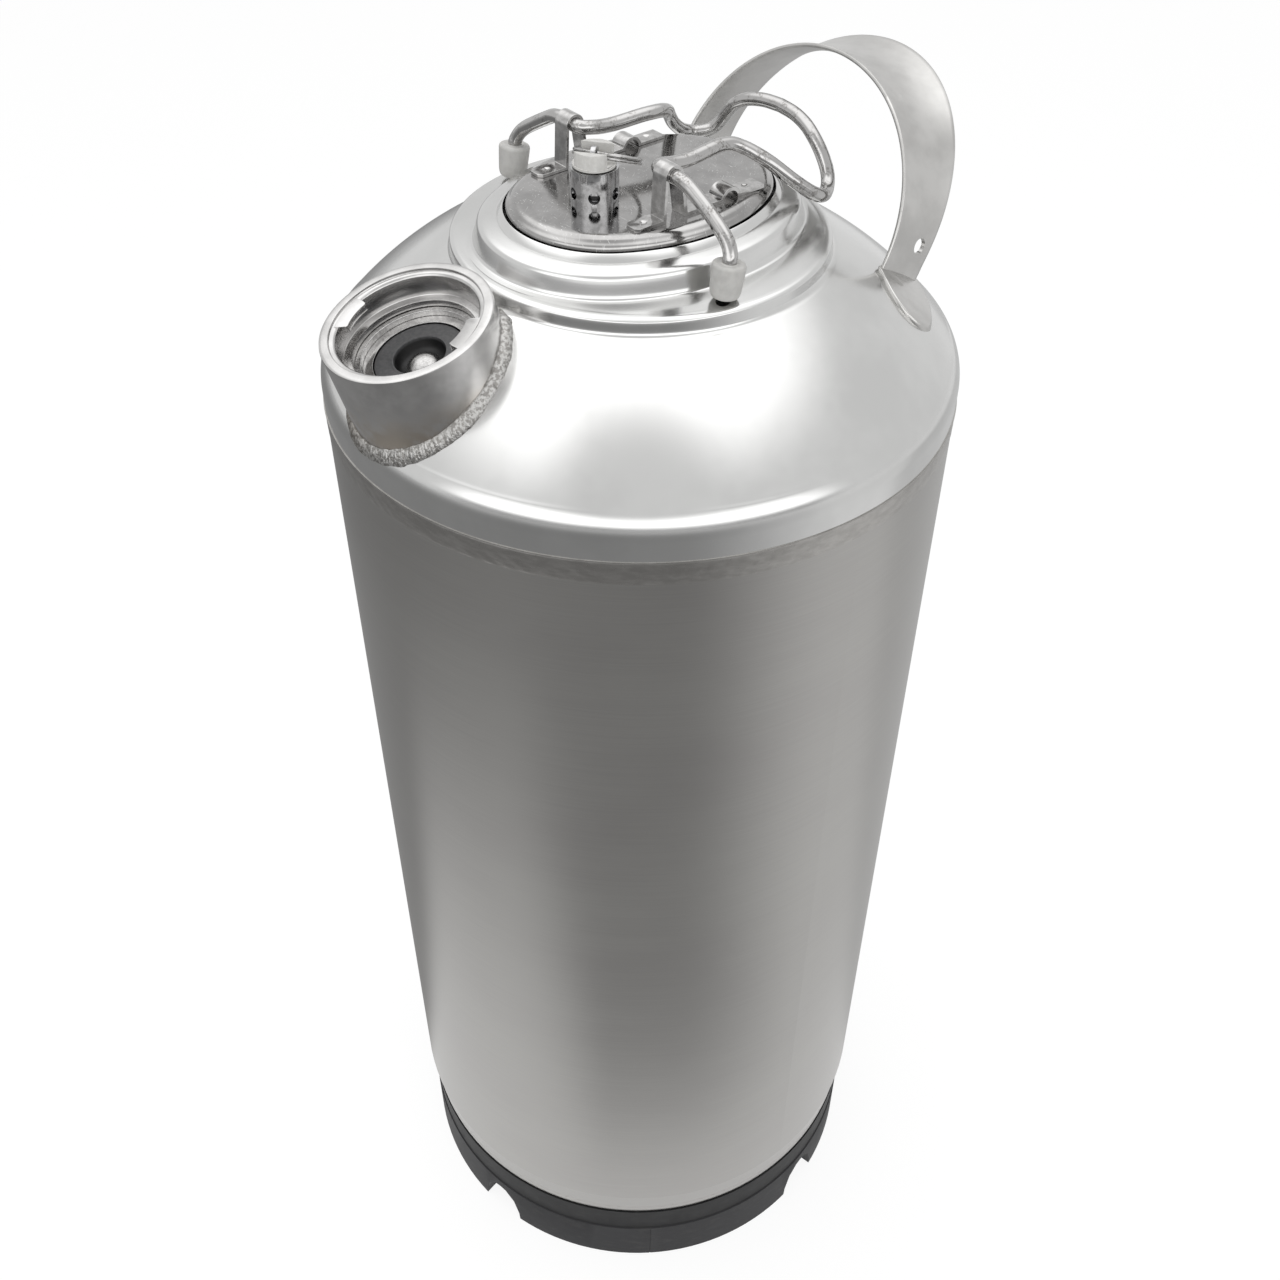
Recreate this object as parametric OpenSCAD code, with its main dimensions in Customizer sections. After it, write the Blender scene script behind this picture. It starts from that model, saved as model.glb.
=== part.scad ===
// Upright stainless beverage keg with an oval lid held by a wire bail, a tilted coupler neck and a strap
// handle.
// Millimetres. +Z up, origin at the centre of the boot's underside, +Y towards the strap handle.

/* [Show] */
// which sub-part to draw, or all

/* [Shell] */
// outside radius of the shell
shell_r = 114.3; // [100:0.1:130]
// thickness of the shell and head sheet
sheet = 1.5; // [0.8:0.1:3]
// height where the upper seam ridge sits
seam_z = 462.4; // [400:0.1:600]
// height of the rough weld band below the ridge
seam_h = 8.6; // [4:0.1:15]
// how far the seam ridge stands out
seam_proud = 0.35; // [0.1:0.05:1]
// height over which the shell turns in above the bottom head
turn_h = 13; // [6:0.5:30]
// how far the shell turns in
turn_in = 1.8; // [0.5:0.1:4]

/* [Bottom head] */
// radius of the bowl of the bottom head
bowl_r = 200; // [150:1:300]
// lowest point of the bottom head above the floor
bowl_z = 6; // [3:0.5:20]
// radius of the bottom head's knuckle
low_knuckle_r = 15; // [8:0.5:30]
// height of the straight flange above that knuckle
flange_h = 0.2; // [0.1:0.1:6]

/* [Boot] */
// wall of the rubber boot below the head
boot_wall = 11.5; // [6:0.1:20]
// how far the boot's top edge stays below the bottom head's flange
boot_reveal = 5.3; // [2:0.1:12]
// height of the small step in the boot's side
boot_step_z = 27; // [10:0.5:40]
// how far the upper side is set back at its foot
boot_step = 0.6; // [0.2:0.1:2]
// radius of a drain hole in the boot's floor
drain_r = 5; // [3:0.5:10]
// distance of the drain holes from the middle
drain_at = 62; // [40:1:90]
// number of drain holes
drain_count = 6; // [3:1:12]
// thickness of the boot's floor
boot_floor = 5; // [2:0.5:12]
// clearance between the boot and the head
boot_gap = 0.05; // [0:0.01:0.5]
// half width of a notch at the floor
notch_half = 11.8; // [5:0.1:20]
// shares of the half width at the notch's shoulders
notch_shares = [1, 0.97, 0.72, 0.28];
// shares of the notch height at the same shoulders
notch_rise_shares = [0, 0.25, 0.72, 0.97];
// height of a notch
notch_h = 21; // [10:0.5:30]
// turn of the first notch from the right-hand side
notch_turn = 11.5; // [0:0.5:90]
// number of notches
notch_count = 4; // [3:1:8]
// width of the mould line on the boot
line_w = 0.5; // [0.2:0.1:1.5]
// turn of the mould line
line_turn = -35.6; // [-180:0.1:180]

/* [Top head] */
// radius of the dome's sphere
dome_r = 149; // [120:0.5:300]
// how far in from the shell the dome meets the rounded shoulder
crease_in = 3.4; // [2:0.1:6]
// how far the dome stands above the shoulder at that crease
crease_step = 0.65; // [0.2:0.05:1.2]
// radius of the rounded shoulder
shoulder_r = 7; // [4:0.5:15]
// height of the shoulder's centre above the seam
shoulder_rise = 9.6; // [4:0.1:20]
// radius of the round step below the lid collar
step_r = 63.9; // [55:0.1:75]
// height of the step's flat shelf above the dome
step_h = 4.75; // [3:0.05:12]
// radius of the step's rounded edge
step_round = 2.6; // [1:0.1:4]
// how far the hole under the collar lies outside the lid opening
collar_cut = 10.4; // [8:0.1:12]

/* [Lid opening] */
// half length of the oval opening, along Y
open_long = 48.8; // [40:0.05:60]
// half width of the oval opening, along X
open_wide = 38.95; // [30:0.05:50]
// radius of the oval's end arcs
open_end_r = 35; // [25:0.5:45]
// steps around the oval
oval_steps = 72; // [36:4:120]
// collar profile: distance out from the opening's edge, outer face from the lip down
collar_out = [0, 2.2, 5.2, 7.6, 9.2, 10.3, 11.0, 11.4, 12.3];
// collar profile: height of the same points above the shelf
collar_up = [11.1, 8.7, 8.1, 7.1, 5.7, 3.8, 1.9, 0.8, 0];
// inner face of the collar from its foot up
collar_in = [10.4, 9.8, 8.9, 7.8, 6.5, 4.6, 2.4, 0.5, 0];
// height of the same points above the shelf
collar_in_up = [0, 1.7, 3.4, 4.7, 5.7, 6.5, 6.9, 8.5, 9.4];

/* [Lid] */
// height of the lid's flat top above the shelf
lid_rise = 15; // [12:0.1:25]
// lid profile: distance out from the opening's edge, from the top flat outward and back in below
lid_out = [
  -5.2, -4.1, -3.0, -2.1, -1.5, -1.25, -1.25, 5.2, 5.2, -2.6, -2.85, -2.85, -3.2, -4.0, -5.2
];
// lid profile: drop of the same points from the top
lid_drop = [0, 0.15, 0.65, 1.5, 2.5, 3.7, 14.5, 14.5, 16.2, 16.2, 15.6, 4.0, 2.9, 2.1, 1.7];
// thickness of the lid's flat top
lid_sheet = 1.7; // [1:0.1:3]
// gasket profile: distance out from the opening's edge
gasket_out = [-1.05, 4.9, 5.2, 5.2, 4.6, 3.2, 1.0, -0.4, -1.05];
// gasket profile: drop from the lid's top
gasket_drop = [14.5, 14.5, 13.8, 10.6, 9.4, 8.85, 8.85, 9.3, 10.4];

/* [Brackets] */
// distance of a bracket's middle from the lid's centre line
bracket_x = 25.75; // [15:0.05:35]
// width of a bracket strip
bracket_w = 6.6; // [4:0.1:12]
// thickness of a bracket strip
bracket_t = 1.2; // [0.8:0.1:2]
// front end of the front foot
foot_front = -25.3; // [-35:0.1:-18]
// corner cut at the front foot's tip
foot_chamfer = 1.4; // [0.5:0.1:3]
// front face of the front upright at the lid
leg_front = -14.5; // [-20:0.1:-12]
// back face of the rear upright at the lid
leg_rear = -4.2; // [-8:0.1:0]
// middle of the low arch
arch_y = 14.3; // [8:0.1:20]
// outside radius of the low arch
arch_r = 4.2; // [2:0.1:8]
// rear end of the tongue
tongue_end = 29; // [22:0.1:36]
// middle of the weld dimple on the front foot
dimple_front = -20.2; // [-30:0.1:-15]
// middle of the weld dimple on the tongue
dimple_rear = 23.1; // [18:0.1:30]
// radius of a weld dimple's ball
dimple_r = 2.2; // [1:0.1:4]
// depth of a weld dimple
dimple_d = 0.45; // [0.1:0.05:1]

/* [Bail] */
// radius of the bail wire
wire_r = 2.38; // [1.5:0.01:4]
// running clearance of the wire in the bracket loops
loop_gap = 0.08; // [0.01:0.01:0.1]
// hinge line of the bail, along Y
hinge_y = -10; // [-15:0.1:-5]
// hinge line of the bail, height above the lid's top
hinge_rise = 14.5; // [12:0.1:20]
// inner end of the straight journal
journal_in = 21.5; // [18:0.1:24]
// outer end of the straight journal
journal_out = 31.5; // [29:0.1:36]
// leg of the bail from its cap up to the journal: across, along and above the shelf
leg_path = [
  [57.1, -12.3, 4.7], [57.1, -11.3, 12], [56.5, -10.6, 14.5], [54.6, -10.0, 17.1],
  [51.1, -9.7, 19.8],
  [44.8, -9.5, 23.5], [38.6, -9.7, 26.9], [34.8, -9.95, 28.8], [31.5, -10, 29.5]
];
// half of the bail from the journal to the middle of the finger loop, given the same way
loop_path = [
  [21.5, -10, 29.5], [19.7, -9.0, 29.4], [18.8, -6.6, 29.1], [18.7, -2.2, 28.3], [18.7, 4.0, 27.8],
  [17.9, 14.0, 28.2], [17.5, 19.0, 28.2], [17.8, 23.4, 27.7], [19.2, 26.6, 26.4], [21.6, 29.5, 24.7],
  [26.0, 33.8, 21.3], [31.1, 40.0, 15.3], [33.9, 45.6, 10.7], [34.8, 49.2, 8.7], [34.3, 52.2, 7.7],
  [32.7, 54.9, 7.5], [30.9, 57.3, 8.1], [29.1, 59.1, 9.8], [27.2, 60.0, 12.4], [24.9, 60.3, 15.4],
  [22.4, 60.3, 18.4], [19.3, 60.4, 21.1], [14.6, 61.1, 23.5], [7.8, 62.2, 24.9], [0, 62.8, 25.3]
];
// sides of the bent wire
wire_sides = 12; // [8:2:24]
// rings between two points of a bent path
wire_rings = 2; // [1:1:6]
// radius of a foot cap at its top
cap_top_r = 5.5; // [4:0.1:8]
// radius of a foot cap at its bottom
cap_low_r = 5.0; // [4:0.1:8]
// height of a foot cap along the leg
cap_h = 11.5; // [8:0.1:20]
// rounding of a foot cap's bottom edge
cap_round = 2.2; // [0.5:0.1:3]
// lean of the legs in the caps
cap_lean = 7.8; // [0:0.1:20]
// depth of the wire's hole in a cap
cap_hole = 8; // [4:0.1:10]
// middle of the right cap's top: across, along and above the shelf
cap_place = [57.1, -11.3, 12];

/* [Relief valve] */
// place of the relief valve along Y
relief_y = -19.5; // [-30:0.1:-10]
// outside radius of the valve body
relief_r = 8; // [5:0.1:12]
// height of the valve body above the lid
relief_h = 11; // [6:0.1:20]
// radius of the valve chamber
chamber_r = 6.2; // [4:0.1:8]
// thickness of the body's roof and floor
relief_wall = 1.5; // [0.8:0.1:3]
// radius of the seat opening and the shank's bore
seat_r = 4; // [2:0.1:6]
// radius of the shank below the lid
shank_r = 6; // [4:0.1:8]
// length of the shank below the lid's top
shank_l = 12; // [6:0.5:20]
// radius of a vent hole
vent_r = 1.95; // [1:0.05:3]
// height of the vent holes above the lid
vent_z = 3.2; // [2:0.1:6]
// number of vent holes
vent_count = 6; // [3:1:12]
// turn of the first vent hole
vent_turn = -39; // [-180:1:180]
// radius of the valve stem
stem_r = 2; // [1:0.05:4]
// clearance of the stem in the roof
stem_gap = 0.06; // [0.01:0.01:0.1]
// radius of the cap's base
cap_base_r = 7.2; // [5:0.1:10]
// radius of the cap's two posts
post_r = 7.0; // [5:0.1:10]
// height of the cap's base
cap_base_h = 0.8; // [0.5:0.1:2]
// height of the cap above the body
relief_cap_h = 5.9; // [4:0.1:10]
// width of the slot across the cap
slot_w = 8.6; // [3:0.1:10]
// turn of the slot from +X
slot_turn = 37; // [0:1:90]
// gap between the cap and the body
seat_gap = 0.3; // [0.1:0.05:0.6]
// thickness of the stem's eye plate
eye_t = 1.6; // [1:0.1:3]
// outside radius of the eye plate
eye_r = 2.6; // [2:0.1:4]
// radius of the eye
eye_hole = 1.6; // [1:0.05:2.5]
// height of the eye above the valve body
eye_z = 3.6; // [1:0.1:5]
// radius of the stem's valve disc
disc_r = 5.4; // [4:0.1:7]
// thickness of the valve disc and of its rubber face
disc_t = 1.4; // [0.8:0.1:3]
// width across the flats of the nut
nut_af = 19; // [14:0.5:24]
// thickness of the nut
nut_t = 4.2; // [2:0.1:8]
// thickness of the sealing washer
washer_t = 1.2; // [0.5:0.1:3]
// radius of the sealing washer
washer_r = 10.4; // [8:0.1:14]

/* [Pull ring] */
// radius of the ring's centre line
ring_r = 11; // [8:0.1:15]
// radius of the ring's wire
ring_wire = 0.62; // [0.4:0.01:1.2]
// half distance between the ring's two turns
ring_turn_gap = 0.56; // [0.3:0.01:1]
// how far the ring has slipped along the slot
ring_slip = 2; // [0:0.1:6]
// droop of the ring along the slot
ring_droop = 4; // [0:0.5:20]
// lean of the ring away from the slot
ring_lean = 24; // [0:0.5:60]

/* [Coupler neck] */
// gap between the neck's wall and the round step, seen from above
neck_gap = 3.21; // [1:0.01:8]
// height of the neck's rim above the dome
neck_rise = 20.63; // [15:0.01:40]
// tilt of the neck
neck_tilt = 15.3; // [0:0.1:30]
// outside radius of the neck
neck_r = 28.5; // [20:0.1:35]
// radius of the mouth
mouth_r = 23.4; // [15:0.1:30]
// depth of the mouth
mouth_d = 9; // [5:0.1:15]
// radius of the lower bore
bore_r = 20.7; // [14:0.1:28]
// length of the neck
neck_l = 34; // [20:0.5:50]
// chamfer at the rim
rim_chamfer = 0.7; // [0.2:0.1:2]
// how far a bayonet tab stands into the mouth
tab_in = 3.4; // [1:0.1:5]
// half angle of a bayonet tab
tab_half = 17; // [5:1:40]
// depth of a tab's top and bottom below the rim
tab_depths = [0.5, 3.6];
// turn of the tabs from +X
tab_turn = 24.5; // [0:0.5:90]
// width of the neck's weld bead
bead_w = 4.2; // [2:0.1:8]
// height of the neck's weld bead
bead_h = 1.3; // [0.5:0.1:3]

/* [Coupler valve] */
// depth of the valve's top face below the rim
valve_d = 14; // [10:0.1:20]
// outside radius of the housing's flange
flange_r = 20.6; // [15:0.05:27]
// thickness of the housing's flange
flange_t = 3; // [2:0.1:6]
// radius of the hole in the flange
flange_hole = 15.6; // [10:0.1:20]
// outside radius of the housing
housing_r = 18.4; // [14:0.1:20]
// inside radius of the housing
housing_in = 16.3; // [12:0.1:18]
// depth of the housing's floor
housing_d = 73; // [50:0.5:100]
// thickness of the housing's floor
housing_floor = 2; // [1:0.1:5]
// half width of a gas window
window_half = 4.5; // [2:0.1:8]
// heights of a gas window's ends above the housing's floor
window_up = [7, 33];
// outside radius of the retaining ring
retain_r = 21.7; // [18:0.1:25]
// radial width of the retaining ring
retain_w = 2.9; // [1:0.1:5]
// thickness of the retaining ring
retain_t = 2.2; // [1:0.1:4]
// clearance of the retaining ring in its groove
retain_gap = 0.1; // [0.02:0.01:0.3]
// half angle of the retaining ring's gap
retain_half = 9; // [3:1:30]
// clearance around the moving seal
seal_gap = 0.3; // [0.1:0.05:0.6]
// radius of the seal's opening
seal_open = 9.5; // [6:0.1:12]
// radius of the seal's ball seat
ball_seat = 6.1; // [4:0.1:8]
// thickness of the seal
seal_t = 5; // [3:0.1:8]
// radius of the valve ball
ball_r = 7; // [4:0.1:9]
// outside radius of the down tube
tube_r = 8.2; // [5:0.1:10]
// wall of the down tube
tube_wall = 0.85; // [0.5:0.05:2]
// radius of the down tube's collar
tube_collar_r = 14; // [10:0.1:16]
// thickness of the down tube's collar
tube_collar_t = 1.5; // [1:0.1:3]
// height of the down tube's end above the floor
tube_foot = 26.8; // [15:0.1:60]
// depth of the stop inside the down tube
tube_stop = 62; // [40:1:80]
// radius of the hole in that stop
tube_stop_r = 4.4; // [3:0.1:6]

/* [Springs] */
// radius of the gas spring's centre line
gas_coil_r = 11.6; // [9:0.1:14]
// radius of the gas spring's wire
gas_wire = 1.1; // [0.5:0.05:2]
// curls in the gas spring
gas_curls = 8; // [4:1:14]
// radius of the ball spring's centre line
ball_coil_r = 5.6; // [3:0.1:7]
// radius of the ball spring's wire
ball_wire = 0.6; // [0.3:0.05:1]
// curls in the ball spring
ball_curls = 8; // [4:1:14]
// radius of the relief spring's centre line
relief_coil_r = 4.2; // [3:0.1:6]
// radius of the relief spring's wire
relief_wire = 0.4; // [0.3:0.05:1]
// curls in the relief spring
relief_curls = 3; // [3:1:8]
// pitch of a closed end curl, as a share of the wire's radius
closed_share = 3.1; // [2.9:0.05:4]
// sides of a spring's wire
coil_sides = 6; // [6:1:12]
// rings in one curl
coil_rings = 8; // [8:1:16]

/* [Strap handle] */
// lean of the handle away from the lid
strap_lean = 26; // [0:0.5:45]
// radius of the front edge
strap_r = 56; // [40:0.5:70]
// distance of the arch's centre along its leaning rise, from the middle of the shelf
strap_rise = 17.98; // [5:0.01:40]
// place of the front edge across the strap
strap_front = 62.70; // [50:0.01:80]
// place of the rear edge at the feet
strap_rear = 84.80; // [75:0.01:100]
// how much wider the strap is at its top
strap_widen = 6.5; // [0:0.1:15]
// how much higher the rear edge stands at the top
strap_flare = 10.8; // [0:0.1:20]
// how much tighter the rear edge is at the feet
strap_pinch = 1; // [0:0.1:4]
// depth of the hollow across the strap's top
strap_dish = 2.6; // [0:0.1:6]
// power of the flare's growth from foot to top
flare_power = 1.3; // [1:0.1:3]
// thickness of the strap
strap_t = 1.5; // [1:0.1:3]
// angle where the strap's ends run into the dome
strap_end = -11; // [-20:1:0]
// steps along the strap
strap_steps = 44; // [20:2:80]
// steps across the strap
strap_cols = 7; // [3:1:12]
// radius of the hole in a leg
strap_hole_r = 2.8; // [1:0.1:5]
// place of that hole: across the strap and along its rise
strap_hole_at = [78.10, 24.38];
// outline of the foot tongue on the dome, seen from above
tongue_plan = [
  [53.6, 62.6], [57.6, 60.2], [62.0, 58.0], [66.6, 56.4], [71.2, 55.9], [74.8, 56.9], [77.2, 59.2],
  [78.0, 62.3],
  [77.2, 65.8], [74.6, 69.6], [70.4, 74.2], [64.6, 79.2], [58.6, 83.4], [52.6, 86.4], [50.6, 84.0],
  [51.6, 74.0]
];

/* [Hidden] */
$fn = 96;
over = sheet/3;
head_in = shell_r - sheet;
low_r = shell_r - turn_in;
boot_r = low_r;
boot_hollow_r = boot_r - boot_wall;
bowl_c = bowl_z + bowl_r;
knuckle_c = low_r - low_knuckle_r;
knuckle_z = bowl_c - sqrt(pow(bowl_r - low_knuckle_r, 2) - knuckle_c*knuckle_c);
turn_low = knuckle_z + flange_h;
turn_top = turn_low + turn_h;
boot_h = turn_low - boot_reveal;
shoulder_c = shell_r - shoulder_r;
shoulder_z = seam_z + shoulder_rise;
crease_r = shell_r - crease_in;
crease_z = shoulder_z + sqrt(shoulder_r*shoulder_r - pow(crease_r - shoulder_c, 2)) + crease_step;
dome_z = crease_z - sqrt(dome_r*dome_r - crease_r*crease_r);
shelf_z = dome_z + sqrt(dome_r*dome_r - step_r*step_r) + step_h;
lid_z = shelf_z + lid_rise;
hinge_z = lid_z + hinge_rise;
neck_y = -(step_r + neck_gap + neck_r*cos(neck_tilt));
neck_z = dome_z + sqrt(dome_r*dome_r - neck_y*neck_y) + neck_rise;
tube_end = (neck_z - tube_foot)/cos(neck_tilt);
oval_c = open_long - open_end_r;
oval_side_r = (open_wide*open_wide + oval_c*oval_c - open_end_r*open_end_r)/(2*(open_wide - open_end_r));
oval_d = oval_side_r - open_wide;
oval_turn = atan2(oval_c, oval_d);
loop_r = wire_r + loop_gap;
loop_out = loop_r + bracket_t;
lid_under = lid_z - lid_sheet;
relief_top = lid_z + relief_h;
eye_up = relief_top + eye_z;
shank_low = lid_z - shank_l;
valve_top = valve_d + seal_gap;
seal_low = valve_top + seal_t;
ball_d = seal_low + sqrt(ball_r*ball_r - ball_seat*ball_seat) + seal_gap/2;
tube_in = tube_r - tube_wall;
housing_bore = tube_r + retain_gap;

// point at turn p on the oval that lies o outside the opening's edge, at height z
function oval_at(p, o, z) =
  let (q = (p % 360 + 360) % 360)
  q < oval_turn || q > 360 - oval_turn
    ? [(oval_side_r + o)*cos(q) - oval_d, (oval_side_r + o)*sin(q), z]
  : q > 180 - oval_turn && q < 180 + oval_turn
    ? [(oval_side_r + o)*cos(q) + oval_d, (oval_side_r + o)*sin(q), z]
  : [(open_end_r + o)*cos(q), (open_end_r + o)*sin(q) + (q < 180 ? oval_c : -oval_c), z];

// one ring of points around the oval
function oval_ring(o, z) = [for (i = [0:oval_steps - 1]) oval_at(i*360/oval_steps, o, z)];

// solid swept around the oval; a closed profile makes a ring, an open one is capped at both ends
module oval_sweep(out, up, closed) {
  m = len(out);
  n = oval_steps;
  points = [for (k = [0:m - 1]) each oval_ring(out[k], up[k])];
  spans = closed ? m : m - 1;
  sides = [for (k = [0:spans - 1], i = [0:n - 1])
    let (k2 = (k + 1) % m, i2 = (i + 1) % n)
    [k*n + i, k2*n + i, k2*n + i2, k*n + i2]];
  caps = closed ? [] : [[for (i = [0:n - 1]) i], [for (i = [n - 1:-1:0]) (m - 1)*n + i]];
  polyhedron(points = points, faces = concat(sides, caps), convexity = 6);
}

// flat oval plate area that lies o outside the opening's edge
module oval_area(o) {
  polygon([for (q = oval_ring(o, 0)) [q.x, q.y]]);
}

function unit(v) = v/norm(v);

// smooth curve through a list of points, with r rings in each span
function smooth(p, r) =
  let (n = len(p))
  concat([for (i = [0:n - 2], j = [0:r - 1])
    let (a = p[max(i - 1, 0)], b = p[i], c = p[i + 1], d = p[min(i + 2, n - 1)], t = j/r)
    0.5*((2*b) + (c - a)*t + (2*a - 5*b + 4*c - d)*t*t + (3*b - a - 3*c + d)*t*t*t)], [p[n - 1]]);

function tangents(p) =
  let (n = len(p))
  [for (i = [0:n - 1]) unit(p[min(i + 1, n - 1)] - p[max(i - 1, 0)])];

// side vectors carried along a path without twist
function carried(t, first) =
  let (n = len(t))
  [for (
    i = 0, u = unit(first - (first*t[0])*t[0]);
    i < n;
    i = i + 1, u = i < n ? unit(u - (u*t[i])*t[i]) : u
  ) u];

// round wire of radius r along a path; start and finish are the directions of its two cut ends
module wire(path, r, sides, start, finish) {
  n = len(path);
  mid = tangents(path);
  t = [for (i = [0:n - 1]) i == 0 ? unit(start) : i == n - 1 ? unit(finish) : mid[i]];
  u = carried(t, abs(t[0].z) < 0.9 ? [0, 0, 1] : [1, 0, 0]);
  points = [for (i = [0:n - 1], k = [0:sides - 1])
    let (v = cross(t[i], u[i]), q = k*360/sides)
    path[i] + r*(cos(q)*u[i] + sin(q)*v)];
  walls = [for (i = [0:n - 2], k = [0:sides - 1])
    let (k2 = (k + 1) % sides)
    [i*sides + k, (i + 1)*sides + k, (i + 1)*sides + k2, i*sides + k2]];
  ends = [[for (k = [0:sides - 1]) k], [for (k = [sides - 1:-1:0]) (n - 1)*sides + k]];
  polyhedron(points = points, faces = concat(walls, ends), convexity = 8);
}

// coil spring standing on z = 0, h high over its wire, with closed end curls
module coil(r, w, curls, h) {
  n = curls*coil_rings;
  rise = h - 2*w;
  closed_pitch = closed_share*w;
  rest = (rise - 2*closed_pitch)/(curls - 2);
  function climb(c) =
    c < 1 ? c*closed_pitch
    : c > curls - 1 ? rise - (curls - c)*closed_pitch
    : closed_pitch + (c - 1)*rest;
  path = [for (i = [0:n]) let (c = i/coil_rings) [r*cos(360*c), r*sin(360*c), w + climb(c)]];
  echo(spring_least_gap = min(closed_pitch, rest) - 2*w);
  wire(path, w, coil_sides, [0, 1, closed_pitch/(2*PI*r)], [0, 1, closed_pitch/(2*PI*r)]);
}

module at_neck() {
  translate([0, neck_y, neck_z]) rotate([neck_tilt, 0, 0]) children();
}

module ring(r_out, r_in, low, high) {
  difference() {
    translate([0, 0, low]) cylinder(r = r_out, h = high - low);
    translate([0, 0, low - over]) cylinder(r = r_in, h = high - low + 2*over);
  }
}

module wedge(r, half) {
  polygon([[0, 0], [r*cos(half), -r*sin(half)], [r*cos(half), r*sin(half)]]);
}

// outline of the dome and shoulder sheet in the (radius, height) plane
module head_profile() {
  intersection() {
    translate([0, dome_z]) difference() {
      circle(r = dome_r, $fn = 360);
      circle(r = dome_r - sheet, $fn = 360);
    }
    translate([step_r - sheet, shoulder_z]) square([crease_r - step_r + sheet, dome_r]);
  }
  intersection() {
    translate([shell_r - shoulder_r, shoulder_z]) difference() {
      circle(r = shoulder_r);
      circle(r = shoulder_r - sheet);
    }
    translate([crease_r - sheet/2, shoulder_z]) square([shoulder_r, 2*shoulder_r]);
  }
  translate([head_in, seam_z]) square([sheet, shoulder_z - seam_z]);
  translate([step_r - sheet, shelf_z - shoulder_r + over]) square([sheet, shoulder_r - over - step_round]);
  intersection() {
    translate([step_r - step_round, shelf_z - step_round]) difference() {
      circle(r = step_round);
      circle(r = step_round - sheet);
    }
    translate([step_r - step_round, shelf_z - step_round]) square([shoulder_r, shoulder_r]);
  }
  translate([open_end_r, shelf_z - sheet]) square([step_r - step_round - open_end_r, sheet]);
}

// outline of one notch, seen from outside
module notch_area() {
  last = len(notch_shares) - 1;
  polygon(concat(
    [[-notch_half, -sheet]],
    [for (i = [0:last]) [-notch_half*notch_shares[i], notch_h*notch_rise_shares[i]]],
    [[0, notch_h]],
    [for (i = [last:-1:0]) [notch_half*notch_shares[i], notch_h*notch_rise_shares[i]]],
    [[notch_half, -sheet]]
  ));
}

module base_boot() {
  color("#2b2b2c") difference() {
    rotate_extrude() polygon([
      [0, 0], [boot_r, 0], [boot_r, boot_step_z - boot_step], [boot_r - boot_step, boot_step_z],
      [boot_r, boot_h], [boot_hollow_r, boot_h], [boot_hollow_r, boot_floor], [0, boot_floor]
    ]);
    rotate_extrude() bowl_area(boot_gap);
    for (k = [0:drain_count - 1]) rotate([0, 0, k*360/drain_count])
      translate([drain_at, 0, -over]) cylinder(r = drain_r, h = boot_floor + 2*over);
    for (k = [0:notch_count - 1]) rotate([0, 0, notch_turn + k*360/notch_count])
      translate([boot_hollow_r - shoulder_r, 0, 0]) rotate([90, 0, 90])
        linear_extrude(height = shell_r) notch_area();
    rotate([0, 0, line_turn]) translate([boot_r - line_w/2, -line_w/2, -over])
      cube([line_w, line_w, boot_step_z + over]);
  }
}

// area inside a bottom head whose outer face is moved out by g, in the (radius, height) plane
module bowl_area(g) {
  reach = 2*low_knuckle_r/(bowl_r - low_knuckle_r);
  split = [knuckle_c*(1 + reach), knuckle_z - (bowl_c - knuckle_z)*reach];
  intersection() {
    translate([0, bowl_c]) circle(r = bowl_r + g, $fn = 360);
    polygon([[0, 0], [split.x, 0], split, [knuckle_c, knuckle_z], [knuckle_c, turn_low], [0, turn_low]]);
  }
  intersection() {
    translate([knuckle_c, knuckle_z]) circle(r = low_knuckle_r + g);
    polygon([
      split, [split.x + low_knuckle_r, split.y], [split.x + low_knuckle_r, knuckle_z], [knuckle_c, knuckle_z]
    ]);
  }
  translate([knuckle_c - over, knuckle_z]) square([low_knuckle_r + g + over, turn_low - knuckle_z]);
}

module shell() {
  color("#b9babb") rotate_extrude() polygon([
    [low_r - sheet, turn_low], [low_r, turn_low], [low_r, turn_low + sheet], [shell_r, turn_top],
    [shell_r, seam_z - seam_h], [head_in, seam_z - seam_h], [head_in, turn_top],
    [low_r - sheet, turn_low + sheet]
  ]);
}

module bottom_head() {
  color("#b3b4b5") rotate_extrude() difference() {
    bowl_area(0);
    bowl_area(-sheet);
    translate([0, turn_low - over/2]) square([low_r - sheet, over]);
  }
}

module seam_weld() {
  color("#c8c8c8") rotate_extrude() polygon([
    [head_in, seam_z - seam_h], [shell_r, seam_z - seam_h], [shell_r + seam_proud/2, seam_z - seam_h + over],
    [shell_r + seam_proud/2, seam_z - 2*over], [shell_r + seam_proud, seam_z - over],
    [shell_r + seam_proud, seam_z],
    [head_in, seam_z]
  ]);
}

module top_head() {
  color("#cfd0d1") difference() {
    rotate_extrude() head_profile();
    translate([0, 0, shelf_z - 2*sheet]) linear_extrude(height = 3*sheet) oval_area(collar_cut);
    at_neck() translate([0, 0, -neck_l]) cylinder(r = neck_r, h = 2*neck_l);
  }
}

module lid_collar() {
  color("#d6d7d8") translate([0, 0, shelf_z])
    oval_sweep(concat(collar_out, collar_in), concat(collar_up, collar_in_up), true);
}

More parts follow.
